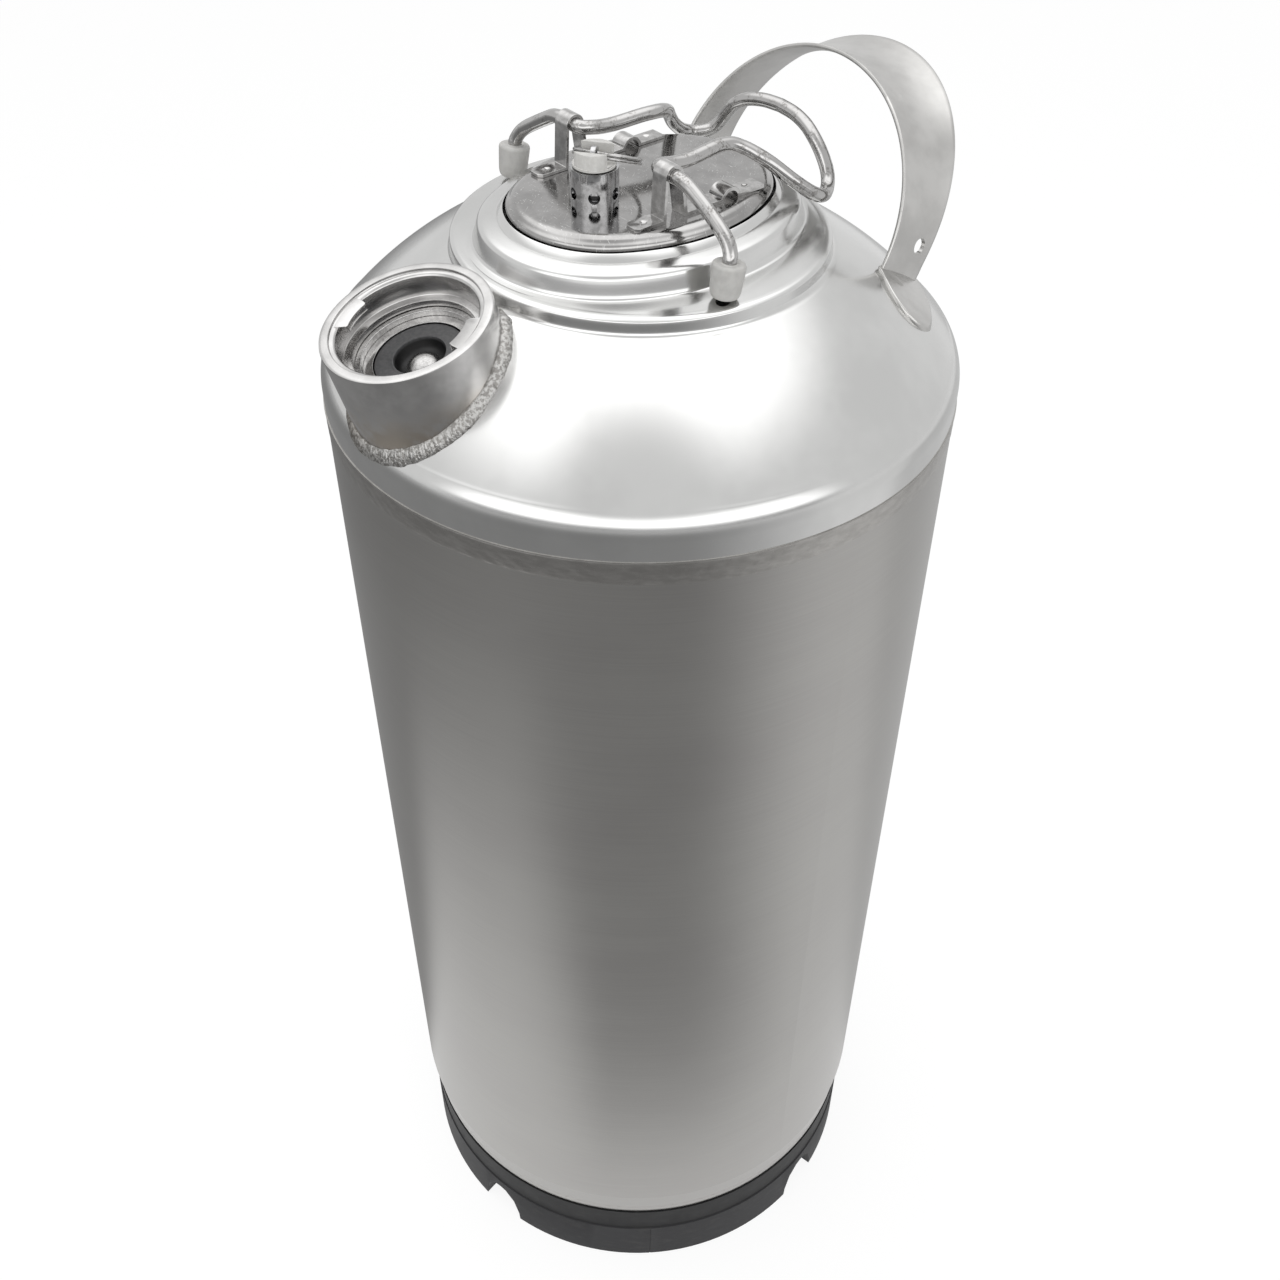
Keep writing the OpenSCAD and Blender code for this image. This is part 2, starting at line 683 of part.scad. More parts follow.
module coupler_neck() {
  color("#c4c5c6") at_neck() union() {
    rotate_extrude() polygon([
      [mouth_r + rim_chamfer, 0], [neck_r - rim_chamfer, 0], [neck_r, -rim_chamfer], [neck_r, -neck_l],
      [bore_r, -neck_l], [bore_r, -valve_d], [retain_r + retain_gap, -valve_d],
      [retain_r + retain_gap, -valve_d + retain_t + retain_gap], [bore_r, -valve_d + retain_t + retain_gap],
      [bore_r, -mouth_d], [mouth_r, -mouth_d], [mouth_r, -rim_chamfer]
    ]);
    for (s = [0, 180]) rotate([0, 0, tab_turn + s]) translate([0, 0, -tab_depths[1]])
      linear_extrude(height = tab_depths[1] - tab_depths[0]) intersection() {
        difference() {
          circle(r = mouth_r + over);
          circle(r = mouth_r - tab_in);
        }
        wedge(2*mouth_r, tab_half);
      }
  }
}

module neck_weld() {
  color("#a9a49c") difference() {
    intersection() {
      at_neck() translate([0, 0, -neck_l]) ring(neck_r + bead_w, neck_r, 0, 2*neck_l);
      translate([0, 0, dome_z]) difference() {
        sphere(r = dome_r + bead_h, $fn = 360);
        sphere(r = dome_r, $fn = 360);
      }
      translate([0, 0, shoulder_z + shoulder_r]) cylinder(r = crease_r, h = 2*shoulder_r + bead_w*4);
    }
    translate([0, 0, shoulder_z]) cylinder(r = step_r, h = dome_r);
  }
}

module valve_housing() {
  color("#b5b6b7") at_neck() difference() {
    rotate_extrude() polygon([
      [flange_hole, -valve_d], [flange_r, -valve_d], [flange_r, -valve_d - flange_t],
      [housing_r, -valve_d - flange_t],
      [housing_r, -housing_d - housing_floor], [housing_bore, -housing_d - housing_floor],
      [housing_bore, -housing_d],
      [housing_in, -housing_d], [housing_in, -valve_d - flange_t], [flange_hole, -valve_d - flange_t]
    ]);
    for (s = [0, 90]) rotate([0, 0, s]) translate([-window_half, -2*housing_r, window_up[0] - housing_d])
      cube([2*window_half, 4*housing_r, window_up[1] - window_up[0]]);
  }
}

module retaining_ring() {
  color("#9c9d9e") at_neck() translate([0, 0, -valve_d]) linear_extrude(height = retain_t) difference() {
    circle(r = retain_r);
    circle(r = retain_r - retain_w);
    rotate(tab_turn) wedge(2*retain_r, retain_half);
  }
}

// point on the strap: a is the turn along the arch, v the share across it from front to rear,
// depth the distance below the outer face
function strap_point(a, v, depth) =
  let (
    top = pow(max(sin(a), 0), flare_power),
    rear_r = strap_r - strap_pinch + strap_flare*top,
    rear_w = strap_rear + strap_widen*top*top,
    dish = strap_dish*top*4*v*(1 - v),
    r = strap_r + (rear_r - strap_r)*v - dish - depth,
    w = strap_front + (rear_w - strap_front)*v,
    x = r*cos(a),
    rise = strap_rise + r*sin(a)
  )
  [x, w*cos(strap_lean) + rise*sin(strap_lean), shelf_z + rise*cos(strap_lean) - w*sin(strap_lean)];

module strap_band() {
  m = strap_steps;
  n = strap_cols;
  function turn(i) = strap_end + (180 - 2*strap_end)*i/m;
  outer = [for (i = [0:m], j = [0:n]) strap_point(turn(i), j/n, 0)];
  inner = [for (i = [0:m], j = [0:n]) strap_point(turn(i), j/n, strap_t)];
  s = (m + 1)*(n + 1);
  function at(i, j) = i*(n + 1) + j;
  skin = [for (i = [0:m - 1], j = [0:n - 1]) [at(i, j), at(i + 1, j), at(i + 1, j + 1), at(i, j + 1)]];
  lining = [for (i = [0:m - 1], j = [0:n - 1])
    [s + at(i, j), s + at(i, j + 1), s + at(i + 1, j + 1), s + at(i + 1, j)]];
  front = [for (i = [0:m - 1]) [at(i, 0), s + at(i, 0), s + at(i + 1, 0), at(i + 1, 0)]];
  rear = [for (i = [0:m - 1]) [at(i, n), at(i + 1, n), s + at(i + 1, n), s + at(i, n)]];
  ends = [for (j = [0:n - 1], e = [0, 1]) e == 0
    ? [at(0, j), at(0, j + 1), s + at(0, j + 1), s + at(0, j)]
    : [at(m, j), s + at(m, j), s + at(m, j + 1), at(m, j + 1)]];
  polyhedron(points = concat(outer, inner), faces = concat(skin, lining, front, rear, ends), convexity = 6);
}

module strap_handle() {
  hole_y = strap_hole_at[0]*cos(strap_lean) + strap_hole_at[1]*sin(strap_lean);
  hole_z = shelf_z + strap_hole_at[1]*cos(strap_lean) - strap_hole_at[0]*sin(strap_lean);
  color("#d4d5d6") union() {
    difference() {
      strap_band();
      translate([0, 0, dome_z]) sphere(r = dome_r, $fn = 360);
      translate([-shell_r, hole_y, hole_z]) rotate([0, 90, 0]) cylinder(r = strap_hole_r, h = 2*shell_r);
    }
    for (s = [0, 1]) mirror([s, 0, 0]) intersection() {
      translate([0, 0, dome_z]) difference() {
        sphere(r = dome_r + strap_t, $fn = 360);
        sphere(r = dome_r, $fn = 360);
      }
      translate([0, 0, shoulder_z]) linear_extrude(height = strap_r) polygon(tongue_plan);
    }
  }
}

module lid_plate() {
  color("#a5a6a8") difference() {
    oval_sweep(lid_out, [for (d = lid_drop) lid_z - d], false);
    translate([0, relief_y, lid_under - over]) cylinder(r = shank_r, h = lid_sheet + 2*over);
  }
}

module lid_gasket() {
  color("#1f1f20") oval_sweep(gasket_out, [for (d = gasket_drop) lid_z - d], true);
}

// side outline of one bracket strip in the (along, up) plane, standing on the lid's top
module bracket_side() {
  difference() {
    union() {
      translate([foot_front, 0]) square([leg_front - foot_front + bracket_t, bracket_t]);
      polygon([
        [leg_front, 0], [leg_rear, 0],
        [hinge_y + loop_out, hinge_z - lid_z], [hinge_y - loop_out, hinge_z - lid_z]
      ]);
      translate([hinge_y, hinge_z - lid_z]) circle(r = loop_out);
      translate([leg_rear - bracket_t, 0]) square([arch_y - leg_rear + bracket_t, bracket_t]);
      translate([arch_y, 0]) circle(r = arch_r);
      translate([arch_y, 0]) square([tongue_end - arch_y, bracket_t]);
    }
    polygon([
      [leg_front + bracket_t, -over], [leg_rear - bracket_t, -over],
      [hinge_y + loop_r, hinge_z - lid_z], [hinge_y - loop_r, hinge_z - lid_z]
    ]);
    translate([hinge_y, hinge_z - lid_z]) circle(r = loop_r);
    translate([arch_y, 0]) circle(r = arch_r - bracket_t);
    translate([foot_front - over, -2*arch_r]) square([tongue_end - foot_front + 2*over, 2*arch_r]);
  }
}

module bracket() {
  chamfer_side = foot_chamfer*sqrt(2);
  difference() {
    translate([bracket_x - bracket_w/2, 0, lid_z]) rotate([90, 0, 90])
      linear_extrude(height = bracket_w) bracket_side();
    for (s = [-1, 1]) translate([bracket_x + s*bracket_w/2, foot_front, lid_z - over]) rotate([0, 0, 45])
      translate([-chamfer_side/2, -chamfer_side/2, 0]) cube([chamfer_side, chamfer_side, 2*bracket_t]);
    for (y = [dimple_front, dimple_rear])
      translate([bracket_x, y, lid_z + bracket_t + dimple_r - dimple_d]) sphere(r = dimple_r);
  }
}

module left_bracket() {
  color("#d0d1d2") mirror([1, 0, 0]) bracket();
}

module right_bracket() {
  color("#d0d1d2") bracket();
}

module relief_body() {
  color("#b0b1b3") translate([0, relief_y, 0]) difference() {
    union() {
      translate([0, 0, lid_z]) cylinder(r = relief_r, h = relief_h);
      translate([0, 0, shank_low]) cylinder(r = shank_r, h = shank_l + over);
    }
    translate([0, 0, lid_z + relief_wall]) cylinder(r = chamber_r, h = relief_h - 2*relief_wall);
    translate([0, 0, shank_low - over]) cylinder(r = seat_r, h = shank_l + relief_wall + 2*over);
    translate([0, 0, relief_top - relief_wall - over])
      cylinder(r = stem_r + stem_gap, h = relief_wall + 2*over);
    for (k = [0:vent_count - 1]) rotate([0, 0, vent_turn + k*360/vent_count])
      translate([chamber_r - over, 0, lid_z + vent_z]) rotate([0, 90, 0]) cylinder(r = vent_r, h = relief_r);
  }
}

module relief_washer() {
  color("#242425") translate([0, relief_y, 0]) ring(washer_r, shank_r, lid_under - washer_t, lid_under);
}

module relief_nut() {
  color("#a8a9ab") translate([0, relief_y, lid_under - washer_t - nut_t]) difference() {
    cylinder(r = nut_af/sqrt(3), h = nut_t, $fn = 6);
    translate([0, 0, -over]) cylinder(r = shank_r, h = nut_t + 2*over);
  }
}

module relief_cap() {
  low = relief_top + seat_gap;
  color("#e8e6e1") translate([0, relief_y, 0]) rotate([0, 0, slot_turn]) difference() {
    union() {
      translate([0, 0, low]) cylinder(r = cap_base_r, h = cap_base_h);
      difference() {
        translate([0, 0, low + cap_base_h/2])
          cylinder(r = post_r, h = relief_cap_h - cap_base_h/2 - seat_gap);
        translate([-2*post_r, -slot_w/2, low]) cube([4*post_r, slot_w, 2*relief_cap_h]);
      }
    }
    translate([0, 0, low - over]) cylinder(r = stem_r, h = relief_cap_h);
  }
}

module relief_stem() {
  disc_low = lid_z + relief_wall + disc_t;
  color("#9fa0a2") translate([0, relief_y, 0]) rotate([0, 0, slot_turn]) difference() {
    union() {
      translate([0, 0, disc_low]) cylinder(r = stem_r, h = relief_top + seat_gap + cap_base_h - disc_low);
      translate([0, 0, disc_low]) cylinder(r = disc_r, h = disc_t);
      intersection() {
        translate([-eye_t/2, 0, eye_up]) rotate([0, 90, 0]) cylinder(r = eye_r, h = eye_t);
        translate([-eye_r, -eye_r, relief_top + seat_gap + cap_base_h]) cube([2*eye_r, 2*eye_r, 2*eye_r]);
      }
    }
    translate([-eye_t, 0, eye_up]) rotate([0, 90, 0]) cylinder(r = eye_hole, h = 2*eye_t);
  }
}

module relief_seal() {
  color("#232324") translate([0, relief_y, lid_z + relief_wall]) cylinder(r = disc_r, h = disc_t);
}

module relief_spring() {
  low = lid_z + relief_wall + 2*disc_t;
  color("#8f9092") translate([0, relief_y, low])
    coil(relief_coil_r, relief_wire, relief_curls, relief_top - relief_wall - low);
}

module pull_ring() {
  reach = sqrt(ring_r*ring_r - ring_slip*ring_slip);
  color("#b4b5b7") translate([0, relief_y, eye_up])
    rotate([0, 0, slot_turn]) rotate([0, ring_droop, 0]) rotate([-ring_lean, 0, 0])
    translate([ring_slip, reach, 0]) rotate_extrude()
    for (s = [-1, 1]) translate([ring_r, s*ring_turn_gap]) circle(r = ring_wire);
}

module bail_wire() {
  half = concat(smooth(leg_path, wire_rings), smooth(loop_path, wire_rings));
  n = len(half);
  whole = concat(half, [for (i = [n - 2:-1:0]) [-half[i].x, half[i].y, half[i].z]]);
  first = leg_path[1] - leg_path[0];
  color("#a9aaab") translate([0, 0, shelf_z])
    wire(whole, wire_r, wire_sides, first, [first.x, -first.y, -first.z]);
}

module foot_caps() {
  color("#d9d7d2") for (s = [0, 1]) mirror([s, 0, 0])
  translate(cap_place + [0, 0, shelf_z]) rotate([-cap_lean, 0, 0]) rotate_extrude() difference() {
    union() {
      polygon([
        [0, 0], [cap_top_r, 0], [cap_low_r, -cap_h + cap_round], [cap_low_r - cap_round, -cap_h + cap_round],
        [cap_low_r - cap_round, -cap_h], [0, -cap_h]
      ]);
      intersection() {
        translate([cap_low_r - cap_round, -cap_h + cap_round]) circle(r = cap_round);
        translate([0, -cap_h]) square([cap_top_r, cap_round]);
      }
    }
    translate([0, -cap_hole]) square([wire_r, cap_hole + over]);
  }
}

module valve_seal() {
  color("#1c1c1d") at_neck() rotate_extrude() polygon([
    [seal_open, -valve_top], [flange_hole - seal_gap, -valve_top],
    [flange_hole - seal_gap, -valve_d - flange_t - seal_gap],
    [housing_in - seal_gap, -valve_d - flange_t - seal_gap], [housing_in - seal_gap, -seal_low],
    [ball_seat, -seal_low]
  ]);
}

module down_tube() {
  color("#c0c1c2") at_neck() union() {
    ring(tube_collar_r, tube_in, -seal_low - tube_collar_t, -seal_low);
    ring(tube_r, tube_in, -tube_end, -seal_low - tube_collar_t + over);
    ring(tube_in + over/2, tube_stop_r, -tube_stop - tube_collar_t, -tube_stop);
  }
}

module gas_spring() {
  color("#8f9092") at_neck() translate([0, 0, -housing_d])
    coil(gas_coil_r, gas_wire, gas_curls, housing_d - seal_low - tube_collar_t);
}

module valve_ball() {
  color("#c9cacb") at_neck() translate([0, 0, -ball_d]) sphere(r = ball_r);
}

module ball_spring() {
  below = sqrt(pow(ball_r + ball_wire + retain_gap, 2) - ball_coil_r*ball_coil_r) - ball_wire;
  color("#8f9092") at_neck() translate([0, 0, -tube_stop])
    coil(ball_coil_r, ball_wire, ball_curls, tube_stop - ball_d - below);
}

base_boot();
shell();
bottom_head();
seam_weld();
top_head();
lid_collar();
coupler_neck();
neck_weld();
valve_housing();
retaining_ring();
strap_handle();
lid_plate();
lid_gasket();
left_bracket();
right_bracket();
relief_body();
relief_washer();
relief_nut();
bail_wire();
foot_caps();
relief_cap();
relief_stem();
relief_seal();
relief_spring();
pull_ring();
valve_seal();
down_tube();
gas_spring();
valve_ball();
ball_spring();
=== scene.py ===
"""Upright stainless drinks keg on a rubber boot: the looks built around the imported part.

The frame is the part's own: Z runs up the keg's axis, the coupler neck leans towards -Y and the strap handle stands
towards +Y. Shapes are worked out in millimetres, and piece() turns them into metres.
"""

import math

import bmesh
import bpy
import numpy as np
from mathutils import Matrix


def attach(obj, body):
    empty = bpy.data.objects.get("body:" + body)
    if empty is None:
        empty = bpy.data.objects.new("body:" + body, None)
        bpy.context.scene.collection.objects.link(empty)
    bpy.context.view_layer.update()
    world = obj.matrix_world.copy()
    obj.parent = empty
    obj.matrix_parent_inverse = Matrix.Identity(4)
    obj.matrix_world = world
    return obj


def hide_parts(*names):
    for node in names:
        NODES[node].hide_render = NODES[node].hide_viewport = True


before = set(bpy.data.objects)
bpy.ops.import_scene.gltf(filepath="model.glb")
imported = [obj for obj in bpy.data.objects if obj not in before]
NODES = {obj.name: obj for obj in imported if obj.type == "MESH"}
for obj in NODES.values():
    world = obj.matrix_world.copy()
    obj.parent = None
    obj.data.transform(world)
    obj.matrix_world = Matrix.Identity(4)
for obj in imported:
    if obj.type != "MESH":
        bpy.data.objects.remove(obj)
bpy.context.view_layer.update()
MM = 0.001
MERGE = 2e-6  # metres within which two corners are one
ROUND_ANGLE = 28  # degrees above which an edge of a softened piece is rounded

# Sizes of the keg in millimetres.
SHELL_R, SHEET = 114.3, 1.5
SEAM_LOW, SEAM_TOP = 453.6, 462.4
KNUCKLE_IN, KNUCKLE_Z, KNUCKLE_R = 100.75, 469.8, 13.55
DOME_R, DOME_Z = 149.0, 379.15
DOME_EDGE, DOME_INNER = 110.3, 67.6
OPENING_LONG, OPENING_WIDE, OPENING_END_R = 48.8, 38.95, 35.0
WIRE_R = 2.38
LEG_FOOT = (57.1, -11.3, 530.5)
RING_AT = (0.0, -19.5, 548.1)
SLOT_TURN = math.radians(37.0)

# The coupler neck: the middle of its rim, and its axes across, back and up.
NECK_R, NECK_TILT = 28.5, math.radians(15.3)
NECK_AT = np.array([0.0, -94.6, 514.9])
NECK_SIDE = np.array([1.0, 0.0, 0.0])
NECK_AXIS = np.array([0.0, -math.sin(NECK_TILT), math.cos(NECK_TILT)])
NECK_BACK = np.cross(NECK_AXIS, NECK_SIDE)
SEAL_DEPTH = 14.3

# The strap handle, before its arch leans back: radius, the two edges, the height of its centre, and the lean.
STRAP_R, STRAP_FRONT, STRAP_REAR, STRAP_RISE = 56, -164.6, -142.5, 484
STRAP_LEAN = math.radians(26)

# Level directions as the picture shows them: to its right, and out of it.
RIGHTWARD = (0.6307, 0.7760)
OUTWARD = (0.7738, -0.6334)

# Centre line of half the bail, from the foot up the leg to the journal, and from there to the middle of the loop.
LEG_PATH = [
    (57.1, -13.3, 518.9), (57.1, -12.3, 523.2), (57.1, -11.3, 530.5), (56.5, -10.6, 533.0), (54.6, -10.0, 535.6),
    (51.1, -9.7, 538.3), (44.8, -9.5, 542.0), (38.6, -9.7, 545.4), (34.8, -9.95, 547.3), (31.5, -10, 548),
    (28, -10, 548), (25, -10, 548),
]
LOOP_PATH = [
    (21.5, -10, 548), (19.7, -9.0, 547.9), (18.8, -6.6, 547.6), (18.7, -2.2, 546.8), (18.7, 4.0, 546.3),
    (17.9, 14.0, 546.7), (17.5, 19.0, 546.7), (17.8, 23.4, 546.2), (19.2, 26.6, 544.9), (21.6, 29.5, 543.2),
    (26.0, 33.8, 539.8), (31.1, 40.0, 533.8), (33.9, 45.6, 529.2), (34.8, 49.2, 527.2), (34.3, 52.2, 526.2),
    (32.7, 54.9, 526.0), (30.9, 57.3, 526.6), (29.1, 59.1, 528.3), (27.2, 60.0, 530.9), (24.9, 60.3, 533.9),
    (22.4, 60.3, 536.9), (19.3, 60.4, 539.6), (14.6, 61.1, 542.0), (7.8, 62.2, 543.4), (0, 62.8, 543.8),
]
MIRRORED = np.array([-1, 1, 1])


# Shapes

def smooth_curve(points, per_span):
    """Catmull-Rom curve: in each span the cubic through its two ends, with the slopes of the chords beside them."""
    p = np.asarray(points, float)
    q = np.vstack([2 * p[0] - p[1], p, 2 * p[-1] - p[-2]])
    t = (np.arange(per_span) / per_span)[None, :, None]
    a, b, c, d = (q[k:len(q) - 3 + k][:, None, :] for k in range(4))
    s = 0.5 * (2 * b + (c - a) * t + (2 * a - 5 * b + 4 * c - d) * t ** 2 + (3 * b - a - 3 * c + d) * t ** 3)
    return np.vstack([s.reshape(-1, p.shape[1]), p[-1:]])


def even(points, step):
    """The same curve walked at even steps of arc length."""
    p = np.asarray(points, float)
    s = np.concatenate([[0], np.cumsum(np.linalg.norm(np.diff(p, axis=0), axis=1))])
    n = max(int(round(s[-1] / step)), 2)
    return np.column_stack([np.interp(np.linspace(0, s[-1], n + 1), s, p[:, k]) for k in range(p.shape[1])])


def rotated(points, axis, turn):
    """Points turned about X, Y or Z, given as 0, 1 or 2, by a right-handed turn in radians."""
    c, s = math.cos(turn), math.sin(turn)
    i, j = (axis + 1) % 3, (axis + 2) % 3
    matrix = np.eye(3)
    matrix[i, i] = matrix[j, j] = c
    matrix[i, j], matrix[j, i] = -s, s
    return points @ matrix.T


def at_neck(local):
    """Points given across, back and up the neck, from the middle of its rim, put in the keg's frame."""
    q = np.asarray(local, float)
    return NECK_AT + q[..., :1] * NECK_SIDE + q[..., 1:2] * NECK_BACK + q[..., 2:3] * NECK_AXIS


def lathe(profile, n):
    """Grid of the profile (radius, height) turned about Z: (r cos a, r sin a, z)."""
    a = np.arange(n)[:, None] * 2 * np.pi / n
    r, z = np.asarray(profile, float).T
    return np.stack([r * np.cos(a), r * np.sin(a), z + 0 * a], -1)


def oval(turn, out):
    """Point whose outward normal has the given turn on the four-arc oval that lies so far outside the opening: each
    arc's centre plus its radius and the distance out, times the normal."""
    c = OPENING_LONG - OPENING_END_R
    side_r = (OPENING_WIDE ** 2 + c ** 2 - OPENING_END_R ** 2) / (2 * (OPENING_WIDE - OPENING_END_R))
    d = side_r - OPENING_WIDE
    meet = math.atan2(c, d)
    q = np.mod(turn, 2 * np.pi)
    right = (q < meet) | (q > 2 * np.pi - meet)
    left = np.abs(q - np.pi) < meet
    flat = right | left
    r = np.where(flat, side_r, OPENING_END_R) + out
    x = r * np.cos(q) + np.where(right, -d, 0) + np.where(left, d, 0)
    y = r * np.sin(q) + np.where(flat, 0, np.where(q < np.pi, c, -c))
    return x, y


def oval_sweep(profile, n):
    """Grid of the profile (distance out, height) carried round the oval, at n places spaced evenly along its edge."""
    turns = np.linspace(0, 2 * np.pi, 20001)
    x, y = oval(turns, 0.0)
    s = np.concatenate([[0], np.cumsum(np.hypot(np.diff(x), np.diff(y)))])
    place = np.interp(np.arange(n) * s[-1] / n, s, turns)[:, None]
    out, up = np.asarray(profile, float).T
    x, y = oval(place + 0 * out[None, :], out[None, :])
    return np.stack([x, y, up[None, :] + 0 * x], -1)


def tube(path, radius, sides):
    """Circle of the radius carried along the path, its frame turned as little as possible from ring to ring."""
    p = np.asarray(path, float)
    t = np.gradient(p, axis=0)
    t /= np.linalg.norm(t, axis=1)[:, None]
    u = np.zeros_like(p)
    first = np.array([0.0, 0.0, 1.0]) if abs(t[0, 2]) < 0.9 else np.array([1.0, 0.0, 0.0])
    u[0] = first - (first @ t[0]) * t[0]
    for i in range(1, len(p)):
        u[i] = u[i - 1] - (u[i - 1] @ t[i]) * t[i]
        u[i] /= np.linalg.norm(u[i])
    u[0] /= np.linalg.norm(u[0])
    v = np.cross(t, u)
    a = (np.arange(sides) * 2 * np.pi / sides)[None, :, None]
    return p[:, None] + radius * (np.cos(a) * u[:, None] + np.sin(a) * v[:, None])


def wobble(x, y, seed):
    """Smooth noise of two coordinates: sines of turned directions, each octave twice as fine and half as strong."""
    octaves, waves, total_level = 3, 4, 5.0
    rng = np.random.default_rng(seed)
    total = np.zeros(np.broadcast(x, y).shape)
    for k in range(octaves):
        for _ in range(waves):
            turn, phase = rng.uniform(0, 2 * np.pi, 2)
            pitch = 2.0 ** k * rng.uniform(0.8, 1.25)
            total += np.sin(pitch * (np.cos(turn) * x + np.sin(turn) * y) + phase) / 2.0 ** k
    return total / total_level


def grid_faces(nu, nv, wrap_u=False, wrap_v=False, start=0):
    """Four-cornered faces of a grid of nu by nv points, closed round where asked."""
    i = np.arange(nu if wrap_u else nu - 1)[:, None]
    j = np.arange(nv if wrap_v else nv - 1)[None, :]
    i1, j1 = (i + 1) % nu, (j + 1) % nv
    return (np.stack([i * nv + j, i1 * nv + j, i1 * nv + j1, i * nv + j1], -1).reshape(-1, 4) + start).tolist()


def end_caps(rings, sides, start=0):
    """The two faces that close the ends of a tube of that many rings."""
    last = start + (rings - 1) * sides
    return [list(range(start + sides - 1, start - 1, -1)), list(range(last, last + sides))]


def piece(name, points, faces, body, node, smooth_angle=None):
    """Puts points (mm) and faces (rows of corner numbers) into a mesh piece that rides on a body."""
    mesh = bpy.data.meshes.new(name)
    mesh.from_pydata((np.asarray(points, float) * MM).reshape(-1, 3).tolist(), [], faces)
    work = bmesh.new()
    work.from_mesh(mesh)
    bmesh.ops.remove_doubles(work, verts=work.verts, dist=MERGE)
    bmesh.ops.recalc_face_normals(work, faces=work.faces)
    work.to_mesh(mesh)
    work.free()
    return dress(name, mesh, body, node, smooth_angle)


def dress(name, mesh, body, node, smooth_angle):
    """Makes the object of a mesh, shades it smooth up to an angle, ties it to its body, gives it its node's finish and
    hides the node.
    """
    mesh.materials.clear()
    mesh.materials.append(NODE_FINISH[node])
    mesh.shade_smooth()
    if smooth_angle is not None:
        mesh.set_sharp_from_angle(angle=math.radians(smooth_angle))
    obj = bpy.data.objects.new(name, mesh)
    bpy.context.scene.collection.objects.link(obj)
    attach(obj, body)
    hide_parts(node)
    return obj


# Finishes

def linear(hex_colour):
    """sRGB hex to the linear colour that shaders take."""
    c = np.array([int(hex_colour[k:k + 2], 16) / 255 for k in (1, 3, 5)])
    return (*np.where(c <= 0.04045, c / 12.92, ((c + 0.055) / 1.055) ** 2.4), 1.0)


class Nodes:
    """A node tree under construction: add() makes a node, sets its fields and fills or joins its inputs."""

    def __init__(self, tree):
        self.tree = tree

    def add(self, kind, inputs=None, **fields):
        node = self.tree.nodes.new(kind)
        for key, value in fields.items():
            setattr(node, key, value)
        for key, value in (inputs or {}).items():
            if isinstance(value, bpy.types.NodeSocket):
                self.tree.links.new(value, node.inputs[key])
            else:
                node.inputs[key].default_value = value
        return node

    def math(self, operation, a, b=0.0, c=0.0):
        return self.add("ShaderNodeMath", {0: a, 1: b, 2: c}, operation=operation).outputs[0]

    def dot(self, vector, direction):
        return self.add("ShaderNodeVectorMath", {0: vector, 1: direction}, operation="DOT_PRODUCT").outputs["Value"]

    def length(self, a, b):
        """Square root of the sum of two squares."""
        return self.math("SQRT", self.math("ADD", self.math("MULTIPLY", a, a), self.math("MULTIPLY", b, b)))

    def ramp(self, value, low, high, to_low=0.0, to_high=1.0):
        """Soft step: from to_low at low and below, to to_high at high and above."""
        inputs = {"Value": value, "From Min": low, "From Max": high, "To Min": to_low, "To Max": to_high}
        return self.add("ShaderNodeMapRange", inputs, interpolation_type="SMOOTHSTEP").outputs[0]


class Finish(Nodes):
    """A material under construction. Its hex colour and roughness hold where nothing is joined over them."""

    def __init__(self, name, hex_colour, roughness, metallic=0.0):
        self.material = bpy.data.materials.new(name)
        self.material.use_nodes = True
        super().__init__(self.material.node_tree)
        self.shader = self.tree.nodes["Principled BSDF"]
        self.set("Base Color", linear(hex_colour))
        self.set("Roughness", roughness)
        self.set("Metallic", metallic)
        self.coords = self.add("ShaderNodeTexCoord").outputs["Object"]

    def set(self, socket, value):
        self.shader.inputs[socket].default_value = value

    def join(self, socket, value):
        self.tree.links.new(value, self.shader.inputs[socket])

    def surface(self, share, first, second):
        """The material shows the second shader node instead of the first by the given share."""
        mix = self.add("ShaderNodeMixShader", {0: share, 1: first.outputs[0], 2: second.outputs[0]})
        self.tree.links.new(mix.outputs[0], self.tree.nodes["Material Output"].inputs["Surface"])

    def axes(self, vector=None):
        return self.add("ShaderNodeSeparateXYZ", {0: vector or self.coords}).outputs

    def turned(self, turns, vector=None):
        inputs = {"Vector": vector or self.coords, "Rotation": turns}
        return self.add("ShaderNodeMapping", inputs, vector_type="POINT").outputs[0]

    def noise(self, per_mm, detail=3, stretch=(1, 1, 1), rough=0.6, where=None):
        """Noise with the given number of cells in a millimetre, squeezed along the three axes."""
        scale = tuple(1000 * per_mm * s for s in stretch)
        place = self.add("ShaderNodeMapping", {"Vector": where or self.coords, "Scale": scale}).outputs[0]
        inputs = {"Vector": place, "Scale": 1.0, "Detail": detail, "Roughness": rough}
        return self.add("ShaderNodeTexNoise", inputs).outputs["Fac"]

    def blend(self, share, first, second):
        """Colour between two, each a joined colour or a hex."""
        first, second = (linear(c) if isinstance(c, str) else c for c in (first, second))
        return self.add("ShaderNodeMix", {0: share, 6: first, 7: second}, data_type="RGBA").outputs[2]

    def tone(self, value, low, high, first, second):
        """Colour that goes from the first to the second as the value goes from low to high."""
        return self.blend(self.ramp(value, low, high), first, second)

    def rough(self, base, *layers):
        """Roughness: a base, and each layer's value times its weight on top."""
        for value, weight in layers:
            base = self.math("MULTIPLY_ADD", value, weight, base)
        self.join("Roughness", base)

    def relief(self, *layers):
        """Bumps laid over one another, each as height, depth in millimetres and strength."""
        inputs = {}
        for height, depth, strength in layers:
            inputs.update({"Height": height, "Distance": depth * MM, "Strength": strength})
            inputs["Normal"] = self.add("ShaderNodeBump", inputs).outputs[0]
        self.join("Normal", inputs["Normal"])


